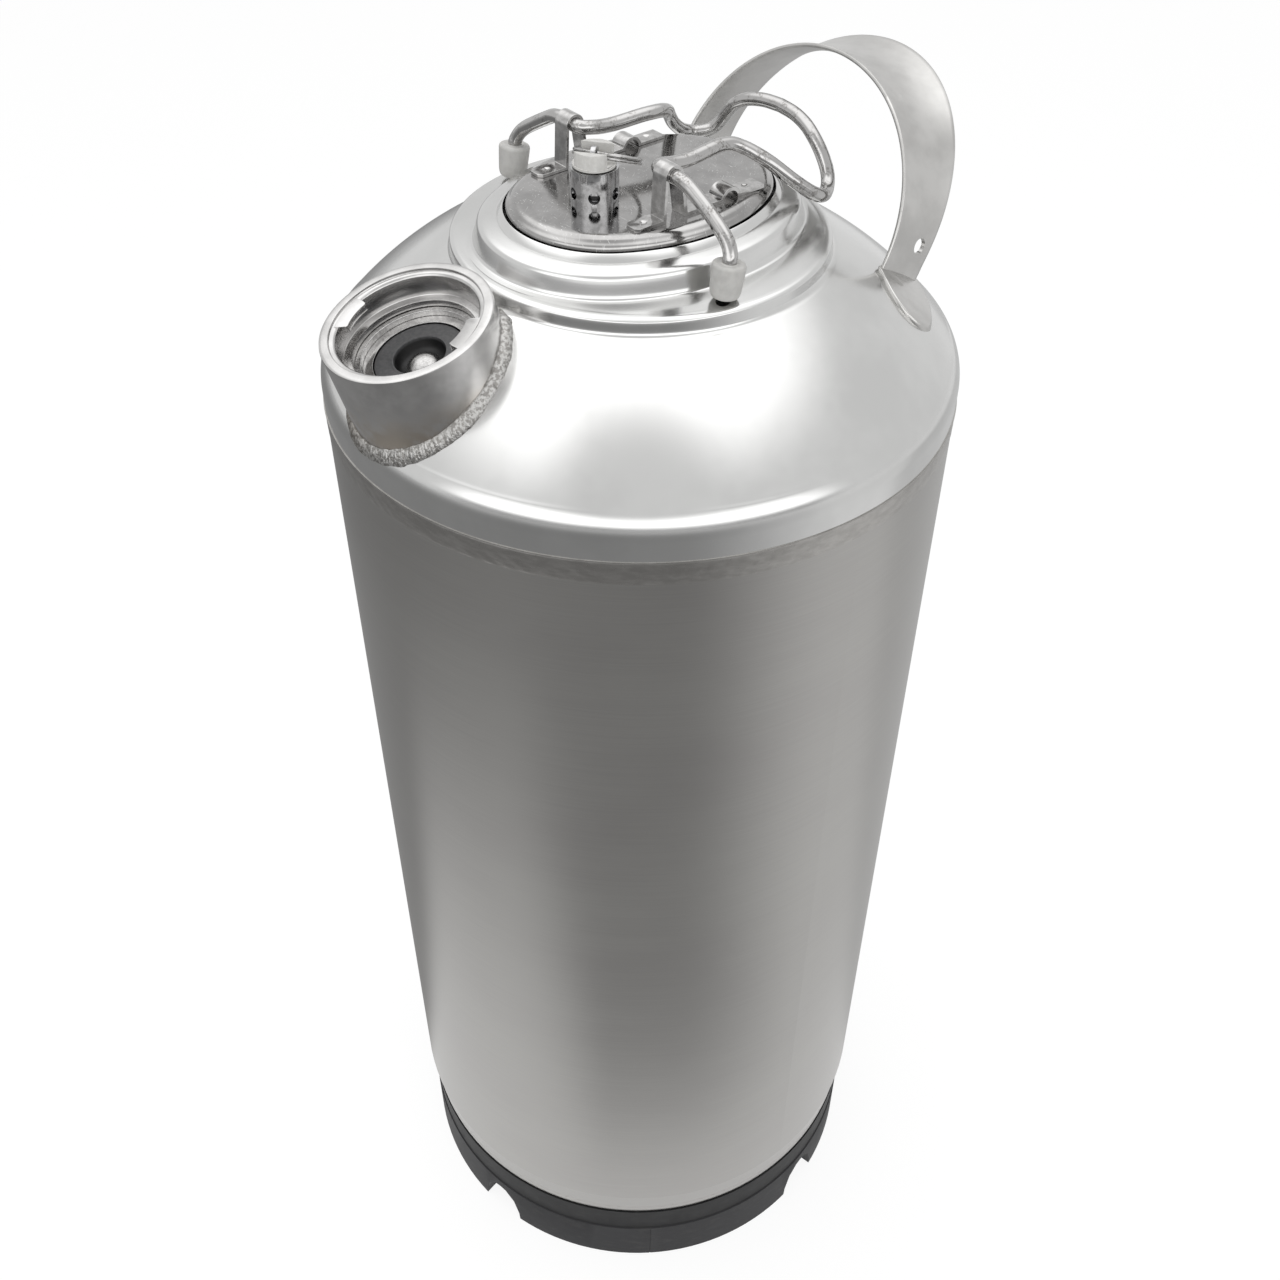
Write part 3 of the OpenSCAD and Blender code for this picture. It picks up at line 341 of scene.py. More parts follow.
def brushed_shell():
    """Rolled and brushed stainless sheet: hair lines round the shell and faint clouds."""
    f = Finish("brushed_stainless_shell", "#a7a6a4", 0.3, 1.0)
    lines = f.noise(0.02, 4, (1, 1, 120))
    broad = f.noise(0.012, 4, (1, 1, 1.6), 0.55)
    fine = f.noise(0.9, 2)
    both = f.math("MULTIPLY_ADD", lines, 0.5, f.math("MULTIPLY", broad, 0.5))
    f.join("Base Color", f.tone(both, 0.3, 0.7, "#a9a7a5", "#b1b0ad"))
    f.rough(0.25, (lines, 0.05), (broad, 0.06))
    f.set("Anisotropic", 0.6)
    f.set("Anisotropic Rotation", 0.25)
    f.join("Tangent", f.add("ShaderNodeTangent", direction_type="RADIAL", axis="Z").outputs[0])
    f.relief((lines, 0.004, 0.4), (fine, 0.002, 0.4))
    return f.material


def satin_head():
    """Spun and satin-blasted stainless head: very fine rings and a soft grain."""
    f = Finish("satin_stainless_head", "#cfcfce", 0.34, 1.0)
    x, y, z = f.axes()
    ring = f.add("ShaderNodeCombineXYZ", {0: f.length(x, y), 1: 0.0, 2: z}).outputs[0]
    spun = f.noise(1.4, 3, (1, 1, 0.2), where=ring)
    broad = f.noise(0.02, 4)
    grain = f.noise(2.2, 2)
    f.join("Base Color", f.tone(broad, 0.35, 0.65, "#cdcdcc", "#d6d6d5"))
    f.rough(0.13, (grain, 0.04), (broad, 0.05))
    f.relief((spun, 0.004, 0.5), (grain, 0.006, 0.5))
    return f.material


def planished_weld():
    """Girth weld rolled flat: a dull band with short ripples across it."""
    f = Finish("planished_weld_band", "#b2b0ac", 0.42, 1.0)
    ripple = f.noise(0.14, 4, (1, 1, 3), 0.65)
    speck = f.noise(1.2)
    f.join("Base Color", f.tone(ripple, 0.35, 0.65, "#a4a29f", "#b1afac"))
    f.rough(0.24, (speck, 0.1))
    f.relief((ripple, 0.03, 0.5), (speck, 0.008, 0.5))
    return f.material


def bead_weld():
    """Hand-laid fillet weld, wire-brushed: bright crusts with dark hollows, browner towards the neck's left side."""
    f = Finish("hand_laid_weld_bead", "#b3b0aa", 0.38, 1.0)
    crust = f.noise(0.8)
    speck = f.noise(1.6, 2, rough=0.5)
    clean = f.ramp(f.axes()[0], -0.03, 0.012)
    hollow = f.blend(clean, "#6d665c", "#8f8d8a")
    bright = f.blend(clean, "#938d84", "#bebdbb")
    f.join("Base Color", f.tone(crust, 0.42, 0.56, hollow, bright))
    f.rough(0.32, (speck, 0.2))
    f.relief((crust, 0.4, 0.8), (speck, 0.08, 0.7))
    return f.material


def turned_neck():
    """Turned stainless neck: tool lines round its axis, and a faint straw tint where the weld heated it."""
    f = Finish("turned_stainless_neck", "#b9b8b6", 0.3, 1.0)
    shift = {"Vector": f.coords, "Location": tuple(-NECK_AT * MM)}
    along_axis = f.turned((-NECK_TILT, 0, 0), f.add("ShaderNodeMapping", shift, vector_type="POINT").outputs[0])
    lines = f.noise(0.05, 3, (1, 1, 60), where=along_axis)
    cloud = f.noise(0.09, 4)
    low = f.ramp(f.axes(along_axis)[2], -0.026, -0.008, 1.0, 0.0)
    heat = f.math("MULTIPLY", low, f.ramp(cloud, 0.35, 0.6))
    steel = f.tone(cloud, 0.3, 0.7, "#b9b8b7", "#cccbca")
    f.join("Base Color", f.blend(f.math("MULTIPLY", heat, 0.7), steel, "#9b8f7e"))
    f.rough(0.13, (cloud, 0.1), (lines, 0.08))
    f.relief((lines, 0.004, 0.5))
    return f.material


def polished_lid():
    """Polished stainless lid, worn: near mirror with hair scratches two ways and small bright specks."""
    f = Finish("polished_stainless_lid", "#b7b6b5", 0.1, 1.0)
    cloud = f.noise(0.06, 4)
    scratch_a = f.noise(0.25, 2, (1, 14, 1))
    scratch_b = f.noise(0.22, 2, (1, 17, 1), where=f.turned((0, 0, 0.9)))
    speck = f.noise(1.3, 2, rough=0.5)
    worn = f.math("MAXIMUM", f.ramp(scratch_a, 0.66, 0.74), f.ramp(scratch_b, 0.66, 0.74))
    worn = f.math("MAXIMUM", worn, f.ramp(speck, 0.70, 0.76))
    f.join("Base Color", f.blend(worn, f.tone(cloud, 0.35, 0.65, "#9a9998", "#aeadac"), "#d2d2d1"))
    f.rough(0.06, (cloud, 0.1), (worn, 0.3))
    f.relief((cloud, 0.15, 0.35), (scratch_a, 0.006, 0.5))
    return f.material


def pressed_strip():
    """Pressed stainless strip, bright with handling marks."""
    f = Finish("pressed_stainless_strip", "#c4c3c2", 0.22, 1.0)
    cloud = f.noise(0.35, 4)
    speck = f.noise(2.2, 2, rough=0.55)
    f.join("Base Color", f.tone(cloud, 0.35, 0.65, "#a9a8a7", "#c3c2c1"))
    f.rough(0.06, (speck, 0.14))
    f.relief((cloud, 0.04, 0.5))
    return f.material


def plated_wire():
    """Bright plated round wire: small pits and rubbed patches."""
    f = Finish("bright_plated_wire", "#bdbcbb", 0.16, 1.0)
    pit = f.noise(1.3)
    patch = f.noise(0.22, 4, rough=0.65)
    worn = f.math("MULTIPLY", f.ramp(patch, 0.46, 0.62), f.ramp(pit, 0.44, 0.54, 1.0, 0.0))
    f.join("Base Color", f.blend(worn, "#b4b3b2", "#8a8886"))
    f.rough(0.03, (patch, 0.08), (worn, 0.2))
    f.relief((patch, 0.06, 0.5), (pit, 0.02, 0.5))
    return f.material


def rolled_strap():
    """Rolled stainless strip, dull as it left the mill: soft grain and faint clouds."""
    f = Finish("mill_finish_strap", "#cbcac8", 0.42, 1.0)
    grain = f.noise(1.6)
    cloud = f.noise(0.05, 4)
    f.join("Base Color", f.tone(cloud, 0.35, 0.65, "#bbbab8", "#cac9c7"))
    f.rough(0.24, (grain, 0.05), (cloud, 0.08))
    f.relief((grain, 0.01, 0.6))
    return f.material


def moulded_rubber():
    """Moulded black rubber boot: fine mould grain, darker upper band, dusty scuffs on the lower one."""
    f = Finish("moulded_black_rubber", "#2f2f30", 0.6)
    grain = f.noise(1.2)
    scuff = f.noise(0.08, 5, (1, 1, 2.5), 0.65)
    lower = f.ramp(f.axes()[2], 0.0262, 0.0272, 1.0, 0.0)
    dusty = f.math("MULTIPLY", f.ramp(scuff, 0.48, 0.72), f.math("MULTIPLY_ADD", lower, 0.2, 0.06))
    f.join("Base Color", f.blend(dusty, f.blend(lower, "#1a1a1b", "#28282a"), "#565554"))
    f.rough(0.45, (scuff, 0.25))
    f.relief((scuff, 0.1, 0.3), (grain, 0.03, 0.6))
    f.set("Specular IOR Level", 0.25)
    return f.material


def soft_vinyl():
    """Dipped pale grey vinyl cap, slightly soiled."""
    f = Finish("dipped_grey_vinyl", "#c5c3be", 0.5)
    soil = f.noise(0.3, 4)
    grain = f.noise(2.0, 2)
    f.join("Base Color", f.tone(soil, 0.35, 0.68, "#c9c8c5", "#bebdba"))
    f.rough(0.4, (grain, 0.15))
    f.relief((grain, 0.02, 0.5))
    f.set("Subsurface Weight", 0.08)
    f.set("Subsurface Radius", (0.002, 0.0018, 0.0015))
    return f.material


def white_plastic():
    """Moulded off-white plastic cap of the relief valve."""
    f = Finish("moulded_off_white_plastic", "#d3d1cb", 0.42)
    soil = f.noise(0.5, 4)
    grain = f.noise(3.0, 2)
    f.join("Base Color", f.tone(soil, 0.35, 0.7, "#dbdad7", "#d0cfcb"))
    f.rough(0.34, (grain, 0.15))
    f.relief((grain, 0.012, 0.5))
    return f.material


def turned_chrome():
    """Turned and chromed brass: mirror with faint tool rings."""
    f = Finish("turned_chrome", "#c2c2c3", 0.1, 1.0)
    ring = f.noise(0.1, 2, (1, 1, 40))
    patch = f.noise(0.5)
    f.join("Base Color", f.tone(patch, 0.3, 0.55, "#9a9a9a", "#bfbfc0"))
    f.rough(0.02, (patch, 0.16))
    f.relief((ring, 0.006, 0.6))
    return f.material


def black_seal():
    """Black rubber seal, faintly greasy."""
    f = Finish("black_rubber_seal", "#1d1d1e", 0.42)
    grain = f.noise(1.6)
    f.join("Base Color", f.tone(grain, 0.35, 0.7, "#19191a", "#2c2c2d"))
    f.rough(0.26, (grain, 0.3))
    f.relief((grain, 0.02, 0.6))
    return f.material


def washer_with_painted_well_shade():
    """Dark grey rubber washer of the coupler valve, with painted shade in its well: near black below its face."""
    f = Finish("rubber_washer_painted_well_shade", "#454546", 0.4)
    grain = f.noise(0.9)
    height = f.dot(f.coords, tuple(NECK_AXIS))
    face_height = float(NECK_AT @ NECK_AXIS - SEAL_DEPTH) * MM
    face = f.tone(grain, 0.35, 0.7, "#3f3f40", "#4f4f50")
    # painted shade: the well below the washer's face is coloured near black, as the bore shades it
    f.join("Base Color", f.tone(height, face_height - 0.0012, face_height - 0.0002, "#0f0f10", face))
    f.rough(0.32, (grain, 0.2))
    f.relief((grain, 0.02, 0.5))
    return f.material


def spring_wire():
    """Drawn stainless spring wire and clips."""
    f = Finish("drawn_spring_wire", "#a9a8a7", 0.25, 1.0)
    mark = f.noise(0.8)
    f.join("Base Color", f.tone(mark, 0.35, 0.6, "#a5a4a3", "#bcbbba"))
    f.rough(0.12, (mark, 0.25))
    f.relief((mark, 0.02, 0.5))
    return f.material


def ground_ball():
    """Ground and tumbled steel ball: soft shine with fine grinding marks."""
    f = Finish("ground_steel_ball", "#b9b8b7", 0.2, 1.0)
    mark = f.noise(1.5)
    f.join("Base Color", f.tone(mark, 0.35, 0.65, "#a6a5a4", "#bdbcbb"))
    f.rough(0.2, (mark, 0.12))
    f.relief((mark, 0.006, 0.5))
    return f.material


def drawn_tube():
    """Turned and polished stainless of the valve parts."""
    f = Finish("turned_stainless_valve", "#c6c5c4", 0.2, 1.0)
    mark = f.noise(0.6)
    f.join("Base Color", f.tone(mark, 0.3, 0.65, "#c6c5c4", "#d8d7d6"))
    f.rough(0.1, (mark, 0.08))
    f.relief((mark, 0.003, 0.4))
    return f.material


FINISHED_NODES = {
    brushed_shell: ["shell", "bottom_head"],
    satin_head: ["top_head", "lid_collar"],
    planished_weld: ["seam_weld"],
    bead_weld: ["neck_weld"],
    turned_neck: ["coupler_neck"],
    polished_lid: ["lid_plate"],
    pressed_strip: ["left_bracket", "right_bracket"],
    plated_wire: ["bail_wire", "pull_ring"],
    rolled_strap: ["strap_handle"],
    moulded_rubber: ["base_boot"],
    soft_vinyl: ["foot_caps"],
    white_plastic: ["relief_cap"],
    turned_chrome: ["relief_body", "relief_nut", "relief_stem"],
    black_seal: ["lid_gasket", "relief_washer", "relief_seal"],
    washer_with_painted_well_shade: ["valve_seal"],
    spring_wire: ["retaining_ring", "relief_spring", "gas_spring", "ball_spring"],
    ground_ball: ["valve_ball"],
    drawn_tube: ["valve_housing", "down_tube"],
}
NODE_FINISH = {}
for make_finish, node_names in FINISHED_NODES.items():
    NODE_FINISH.update(dict.fromkeys(node_names, make_finish()))
for node_name, finish in NODE_FINISH.items():
    for place in NODES[node_name].material_slots:
        place.material = finish


# Pieces

def softened(node, body, slot, width_mm):
    """Copy of a CAD node with its corners merged and its sharp edges rounded by a small radius."""
    name = "soft_" + node
    mesh = NODES[node].data.copy()
    mesh.name = name
    work = bmesh.new()
    work.from_mesh(mesh)
    bmesh.ops.remove_doubles(work, verts=work.verts, dist=MERGE)
    bmesh.ops.dissolve_limit(work, angle_limit=math.radians(0.6), verts=work.verts, edges=work.edges)
    work.to_mesh(mesh)
    work.free()
    edge = dress(name, mesh, body, node, ROUND_ANGLE).modifiers.new("rounded edges", "BEVEL")
    edge.width = width_mm * MM
    edge.segments = 2
    edge.limit_method = "ANGLE"
    edge.angle_limit = math.radians(ROUND_ANGLE)
    edge.use_clamp_overlap = True
    edge.harden_normals = True


def make_collar():
    """Raised oval collar of the opening: its section (distance out, height) carried round the oval."""
    lip = [(0.0, 529.3), (0.15, 529.58), (0.45, 529.45), (1.9, 527.6), (2.2, 527.25)]
    wall = [(2.2, 527.35), (3.4, 527.25), (5.2, 526.95), (6.9, 526.6), (8.1, 526.1), (8.8, 525.3), (9.2, 524.2),
            (9.6, 522.8), (10.0, 521.3), (10.35, 520.1), (10.7, 519.35), (11.2, 518.92), (12.2, 518.7),
            (13.2, 518.55)]
    under = [(13.2, 517.9), (9.0, 517.9), (8.2, 519.6), (7.8, 522.4), (7.2, 524.2), (6.2, 525.0), (4.6, 525.4),
             (2.4, 525.7), (0.5, 527.0), (0.0, 527.9)]
    g = oval_sweep(np.vstack([lip, smooth_curve(wall, 4)[1:], under]), 240)
    piece("oval_collar", g, grid_faces(*g.shape[:2], True, True), "keg", "lid_collar", 35)


def make_head():
    """Top head turned about Z: skirt, knuckle arc, dome sphere, step and shelf. The shelf is ruled from the step to
    the collar's oval. Cells inside the neck's wall are left out, so the neck stands in its hole."""
    n, shelf_rings, bend_end = 480, 8, math.radians(40.5)
    oval_out, oval_z, oval_squeeze, shelf_swell, hole_r = 9.4, 518.75, 0.92, 0.12, 27.3
    skirt = np.column_stack([np.full(8, SHELL_R), np.linspace(SEAM_TOP, 469.4, 8)])
    k = np.linspace(0.0, bend_end, 26)
    knuckle = np.column_stack([KNUCKLE_IN + KNUCKLE_R * np.cos(k), KNUCKLE_Z + KNUCKLE_R * np.sin(k)])
    r = np.linspace(DOME_EDGE, DOME_INNER, 90)
    dome = np.column_stack([r, DOME_Z + np.sqrt(DOME_R ** 2 - r ** 2)])
    bridge = np.array([knuckle[-1] * (1 - u) + dome[0] * u for u in (0.25, 0.5, 0.75)])
    foot = dome[-1, 1]
    step = [(DOME_INNER, foot), (66.6, foot + 0.45), (65.9, foot + 1.0), (65.5, foot + 1.8), (65.35, foot + 2.7),
            (65.1, 517.0), (64.6, 517.7), (63.8, 518.15), (62.6, 518.32), (61.6, 518.38)]
    ring = lathe(np.vstack([skirt, knuckle, bridge, dome, smooth_curve(step, 5)[1:]]), n)
    inner_r = np.linspace(108, 64, 24)
    inner_dome = np.column_stack([inner_r, DOME_Z + np.sqrt((DOME_R - SHEET) ** 2 - inner_r ** 2)])
    inner_skirt = [(SHELL_R - SHEET, SEAM_TOP), (SHELL_R - SHEET, KNUCKLE_Z), (109.8, 477.2)]
    low = lathe(np.vstack([inner_skirt, inner_dome])[::-1], n)

    a = np.arange(n) * 2 * np.pi / n
    x, y = oval(np.arctan2(np.sin(a), np.cos(a) * oval_squeeze), oval_out)
    rim = np.stack([x, y, np.full(n, oval_z)], -1)[:, None, :]
    share = np.linspace(0.12, 1.0, shelf_rings)
    shelf = ring[:, -1:, :] + (rim - ring[:, -1:, :]) * share[None, :, None]
    shelf[..., 2] += shelf_swell * np.sin(np.pi * share)[None, :]
    g = np.concatenate([ring, shelf, shelf[:, ::-1] - [0, 0, SHEET], low], 1)

    beside = np.roll(g, -1, 0)
    middle = 0.25 * (g + beside + np.roll(g, -1, 1) + np.roll(beside, -1, 1)) - NECK_AT
    along = middle @ NECK_AXIS
    gone = (np.linalg.norm(middle - along[..., None] * NECK_AXIS, axis=-1) < hole_r).reshape(-1)
    faces = [f for f, out in zip(grid_faces(*g.shape[:2], True, True), gone) if not out]
    piece("spun_head", g, faces, "keg", "top_head", 40)


def make_neck():
    """Turned neck: its section about the leaning axis, with a crowned rim, an inner step, the bore, the ring groove
    and two bayonet tabs, each a block between two radii, two turns and two depths."""
    n, tab_turns = 288, (math.radians(24.5), math.radians(204.5))
    section = [
        (NECK_R, -34.0), (NECK_R, -0.75), (28.35, -0.3), (28.0, -0.06), (27.4, 0.0), (26.2, 0.0), (25.55, -0.02),
        (25.4, -0.14), (25.3, -0.75), (25.2, -0.92), (24.95, -0.98), (24.2, -1.02), (24.0, -1.1), (23.55, -1.62),
        (23.42, -1.9), (23.4, -8.9), (23.3, -9.05), (21.2, -9.2), (20.8, -9.3), (20.7, -9.5), (20.7, -11.5),
        (20.85, -11.62), (21.9, -11.65), (21.9, -14.0), (20.7, -14.0), (20.7, -34.0),
    ]
    tab = [(24.6, -0.9), (20.6, -0.9), (20.15, -1.05), (20.0, -1.4), (20.0, -3.2), (20.15, -3.5), (20.5, -3.6),
           (24.6, -3.6)]
    tab_spread = np.radians([-17, -16.6, -15.5, -10, -5, 0, 5, 10, 15.5, 16.6, 17])
    tab_inset = np.array([1.2, 0.45, 0, 0, 0, 0, 0, 0, 0, 0.45, 1.2])
    points, faces = [at_neck(lathe(section, n)).reshape(-1, 3)], grid_faces(n, len(section), True, True)
    count = len(points[0])
    r, z = np.array(tab).T
    r = r + np.where(r < 24, tab_inset[:, None], 0)
    for middle in tab_turns:
        turn = (middle + tab_spread)[:, None]
        block = np.stack([r * np.cos(turn), r * np.sin(turn), z + 0 * r], -1)
        points.append(at_neck(block).reshape(-1, 3))
        faces += grid_faces(*r.shape, False, True, start=count) + end_caps(*r.shape, start=count)
        count += r.size
    piece("turned_neck", np.vstack(points), faces, "keg", "coupler_neck", 32)


def make_valve_seal():
    """Seal of the coupler valve: a flat washer with a thin lip and a well down to the ball, turned about the neck."""
    section = [
        (15.3, -17.6), (15.3, -14.75), (15.1, -14.42), (14.7, -SEAL_DEPTH), (14.0, -SEAL_DEPTH), (9.9, -SEAL_DEPTH),
        (9.5, -14.2), (9.2, -14.05), (8.9, -14.12), (8.7, -14.4), (8.6, -15.0), (8.2, -17.4), (7.4, -18.6),
        (6.3, -19.2), (6.1, -19.35), (6.3, -19.6), (15.0, -19.6), (15.3, -19.3),
    ]
    g = at_neck(lathe(section, 128))
    faces = grid_faces(*g.shape[:2], True, True)
    piece("valve_washer", g, faces, "coupler_valve", "valve_seal", 40)


def make_ball():
    """Steel ball that closes the valve: a sphere, its points at even turns about the neck and up from its low pole."""
    radius, depth = 7.25, 22.5
    k = np.linspace(-math.pi / 2, math.pi / 2, 49)
    g = at_neck(lathe(np.column_stack([radius * np.cos(k), -depth + radius * np.sin(k)]), 96))
    piece("steel_ball", g, grid_faces(*g.shape[:2], True), "beer_valve", "valve_ball")


def make_lid():
    """Pressed oval lid: its section (distance out, height) carried round the oval, from the rolled edge to the
    hidden flange. Its flat top and underside close by shrinking the first and the last oval to the middle."""
    edge = [(-5.2, 533.5), (-4.1, 533.36), (-3.0, 532.85), (-2.1, 532.0), (-1.15, 531.2), (-0.75, 530.2),
            (-0.7, 529.4), (-0.9, 528.6), (-1.25, 527.0)]
    flange = [(-1.25, 519.0), (5.2, 519.0), (5.2, 517.3), (-2.6, 517.3), (-2.85, 517.9), (-2.85, 529.5),
              (-3.2, 530.6), (-4.0, 531.4), (-5.2, 531.8)]
    g = oval_sweep(np.vstack([smooth_curve(edge, 4), flange]), 240)
    shrink = np.array([0.97, 0.9, 0.8, 0.66, 0.5, 0.33, 0.16, 0.0])[None, :, None]
    top, low = (np.concatenate([o[..., :2] * shrink, o[..., 2:] + 0 * shrink], -1) for o in (g[:, :1], g[:, -1:]))
    g = np.concatenate([top[:, ::-1], g, low], 1)
    piece("pressed_lid", g, grid_faces(*g.shape[:2], True), "lid", "lid_plate", 35)


def make_bail():
    """One bent wire: both legs, journals and the end loop as one tube along a smooth path."""
    ring_step, sides = 0.9, 28
    half = smooth_curve(np.vstack([LEG_PATH, LOOP_PATH]), 8)
    g = tube(even(np.vstack([half, (half * MIRRORED)[-2::-1]]), ring_step), WIRE_R, sides)
    faces = grid_faces(*g.shape[:2], False, True) + end_caps(*g.shape[:2])
    piece("bent_bail", g, faces, "bail", "bail_wire", 50)


def make_caps():
    """Two dipped caps: a section turned about each leaning leg."""
    section = [(0.0, 0.15), (2.5, 0.15), (3.0, -0.1), (3.6, 0.1), (4.6, 0.1), (5.15, -0.12), (5.45, -0.6),
               (5.5, -1.4), (5.3, -5.0), (5.05, -8.6), (4.75, -10.0), (4.2, -10.9), (3.2, -11.35), (1.8, -11.45),
               (0.0, -11.5)]
    lean, row_step, n = math.radians(7.8), 0.25, 64
    right = rotated(lathe(even(smooth_curve(section, 5), row_step), n), 0, -lean) + LEG_FOOT
    rows = right.shape[:2]
    faces = grid_faces(*rows, True) + grid_faces(*rows, True, start=rows[0] * rows[1])
    piece("dipped_caps", np.stack([right, right * MIRRORED]), faces, "bail", "foot_caps")


def make_ring():
    """Split ring: a round wire wound twice round, stepping over itself once, tipped and turned into its slot."""
    radius, wire_r, turn_gap, slip, start = 11.0, 0.56, 0.57, 2.0, 2.2
    end_gap, step_over, lean, droop = 0.02, 0.7, math.radians(-24), math.radians(4)
    a = np.linspace(end_gap, 4 * np.pi - end_gap, 300)
    step = np.clip((a - 2 * np.pi + step_over / 2) / step_over, 0, 1)
    side = -turn_gap + 2 * turn_gap * (3 * step ** 2 - 2 * step ** 3)
    reach = math.sqrt(radius ** 2 - slip ** 2)
    path = np.stack([slip + radius * np.cos(a + start), reach + radius * np.sin(a + start), side], -1)
    for axis, turn in enumerate((lean, droop, SLOT_TURN)):
        path = rotated(path, axis, turn)
    g = tube(path + RING_AT, wire_r, 14)
    faces = grid_faces(*g.shape[:2], False, True) + end_caps(*g.shape[:2])
    piece("split_ring", g, faces, "relief_ring", "pull_ring", 50)


def make_seam():
    """Girth weld: band and ridge turned about Z, with a shallow planished wobble on the band."""
    n, band_rows, ridge_rows = 720, 20, 6
    band_out, crown_out, wobble_depth = 0.02, 0.13, 0.07
    z = np.concatenate([np.linspace(SEAM_LOW, 461.2, band_rows), [461.5, 461.8, 461.95, 462.15, SEAM_TOP, SEAM_TOP]])
    crown = band_out + crown_out * np.sin(np.linspace(0, np.pi, band_rows)) ** 0.5
    r = SHELL_R + np.concatenate([crown, [0.05, 0.1, 0.3, 0.35, 0.3, -1.4]])
    a = np.arange(n)[:, None] * 2 * np.pi / n
    on_band = np.concatenate([np.ones(band_rows), np.zeros(ridge_rows)])[None, :]
    r = r + wobble_depth * wobble(a * SHELL_R * 1.1, z[None, :] * 2.6, 3) * on_band
    outer = np.stack([r * np.cos(a), r * np.sin(a), z + 0 * a], -1)
    g = np.concatenate([lathe([(SHELL_R - SHEET, SEAM_LOW)], n), outer], 1)
    piece("girth_weld", g, grid_faces(*g.shape[:2], True, True), "keg", "seam_weld", 40)


def make_bead():
    """Fillet weld where the neck meets the dome: a rounded ridge along the line on both, with overlapping ripples.
    A point at turn t is the neck's wall carried down its axis to the dome's sphere."""
    n, rows, ripple_length, mean_size, wide_share, sink = 900, 15, 1.15, 2.75, 1.15, 0.6
    ridge_depth, ripple_depth, grain_depth = 0.15, 0.075, 0.05
    step_r, ease, least = 65.6, 4.0, 0.12
    t = np.arange(n) * 2 * np.pi / n
    ring = at_neck(np.stack([NECK_R * np.cos(t), NECK_R * np.sin(t), 0 * t], -1))
    centre = np.array([0, 0, DOME_Z])
    d = ring - centre
    b = d @ NECK_AXIS
    drop = -b + np.sqrt(np.maximum(b ** 2 - (np.einsum("ij,ij->i", d, d) - DOME_R ** 2), 0))
    foot = ring + drop[:, None] * NECK_AXIS
    out = at_neck(np.stack([np.cos(t), np.sin(t), 0 * t], -1)) - NECK_AT
    normal = (foot - centre) / np.linalg.norm(foot - centre, axis=1)[:, None]
    along = out - np.einsum("ij,ij->i", out, normal)[:, None] * normal
    along /= np.linalg.norm(along, axis=1)[:, None]
    lift = (out + normal) / np.linalg.norm(out + normal, axis=1)[:, None]

    arc = t * NECK_R
    wave = np.mod(arc / ripple_length + 0.5 * np.sin(arc / 5.3) + 0.3 * np.sin(arc / 2.1), 1.0) ** 0.7
    size = mean_size + 0.5 * wobble(arc * 0.3, arc * 0.0, 5) + 0.22 * wobble(arc * 1.3, arc * 0.0, 6)
    clear_of_step = np.clip((np.hypot(foot[:, 0], foot[:, 1]) - step_r) / ease, 0.0, 1.0)
    size = (size * (least + (1 - least) * clear_of_step))[:, None]
    s = np.linspace(0, 1, rows)[None, :]
    grain = grain_depth * wobble(arc[:, None] * 1.1, s * 4.0, 8)
    swell = (ridge_depth + ripple_depth * wave[:, None] + grain) * size * np.sin(np.pi * s) ** 0.7
    up, side = size * (1 - s), size * wide_share * s
    g = foot[:, None] + up[..., None] * NECK_AXIS + side[..., None] * along[:, None] + swell[..., None] * lift[:, None]
    g = np.concatenate([(foot - sink * out - sink * normal)[:, None], g], 1)
    piece("neck_bead", g, grid_faces(*g.shape[:2], True, True), "keg", "neck_weld", 80)


def strap_surface(turn, share, depth):
    """Point of the strap: a turn along the leaning arch, a share across it, a depth below the outer face. The rear
    edge's radius grows with the sine of the turn, which flares the strap, and the middle is dished."""
    flare, rear_shift, dish_depth, fullness = 10.8, 6.5, 2.6, 1.3
    top = np.maximum(np.sin(turn), 0) ** fullness
    rear_r = STRAP_R - 1 + flare * top
    rear_w = STRAP_REAR + rear_shift * top ** 2
    dish = dish_depth * top * 4 * share * (1 - share)
    r = STRAP_R + (rear_r - STRAP_R) * share - dish - depth
    w = STRAP_FRONT + (rear_w - STRAP_FRONT) * share
    return rotated(np.stack([r * np.cos(turn), w, STRAP_RISE + r * np.sin(turn)], -1), 0, -STRAP_LEAN)


def strap_tongue():
    """Right foot of the strap: a rounded tongue whose outline shrinks to its middle and whose face follows the
    dome's sphere, raised by the strip's thickness, with two shallow dents."""
    plan = np.array([
        (53.6, 62.6), (57.6, 60.2), (62.0, 58.0), (66.6, 56.4), (71.2, 55.9), (74.8, 56.9), (77.2, 59.2), (78.0, 62.3),
        (77.2, 65.8), (74.6, 69.6), (70.4, 74.2), (64.6, 79.2), (58.6, 83.4), (52.6, 86.4), (50.6, 84.0), (51.6, 74.0),
    ])
    middle = np.array([62.5, 69.5])
    dent_places, dent_depth, dent_area = ((70.8, 61.9), (59.6, 65.5)), 0.22, 5.0
    edge = even(smooth_curve(np.vstack([plan[-1:], plan, plan[:2]]), 8)[8:-8], 0.6)[:-1]
    rho = np.concatenate([np.linspace(0, 0.93, 24), [0.955, 0.975, 0.99, 1.0, 1.0]])
    rise = SHEET * np.concatenate([np.ones(24), [0.96, 0.85, 0.62, 0.3, -0.25]])
    xy = middle + rho[None, :, None] * (edge - middle)[:, None]
    x, y = xy[..., 0], xy[..., 1]
    dents = sum(dent_depth * np.exp(-(((x - px) ** 2 + (y - py) ** 2) / dent_area) ** 2) for px, py in dent_places)
    radius = DOME_R + rise[None, :] - dents * (rho[None, :] < 0.95)
    return np.stack([x, y, DOME_Z + np.sqrt(radius ** 2 - x ** 2 - y ** 2)], -1)


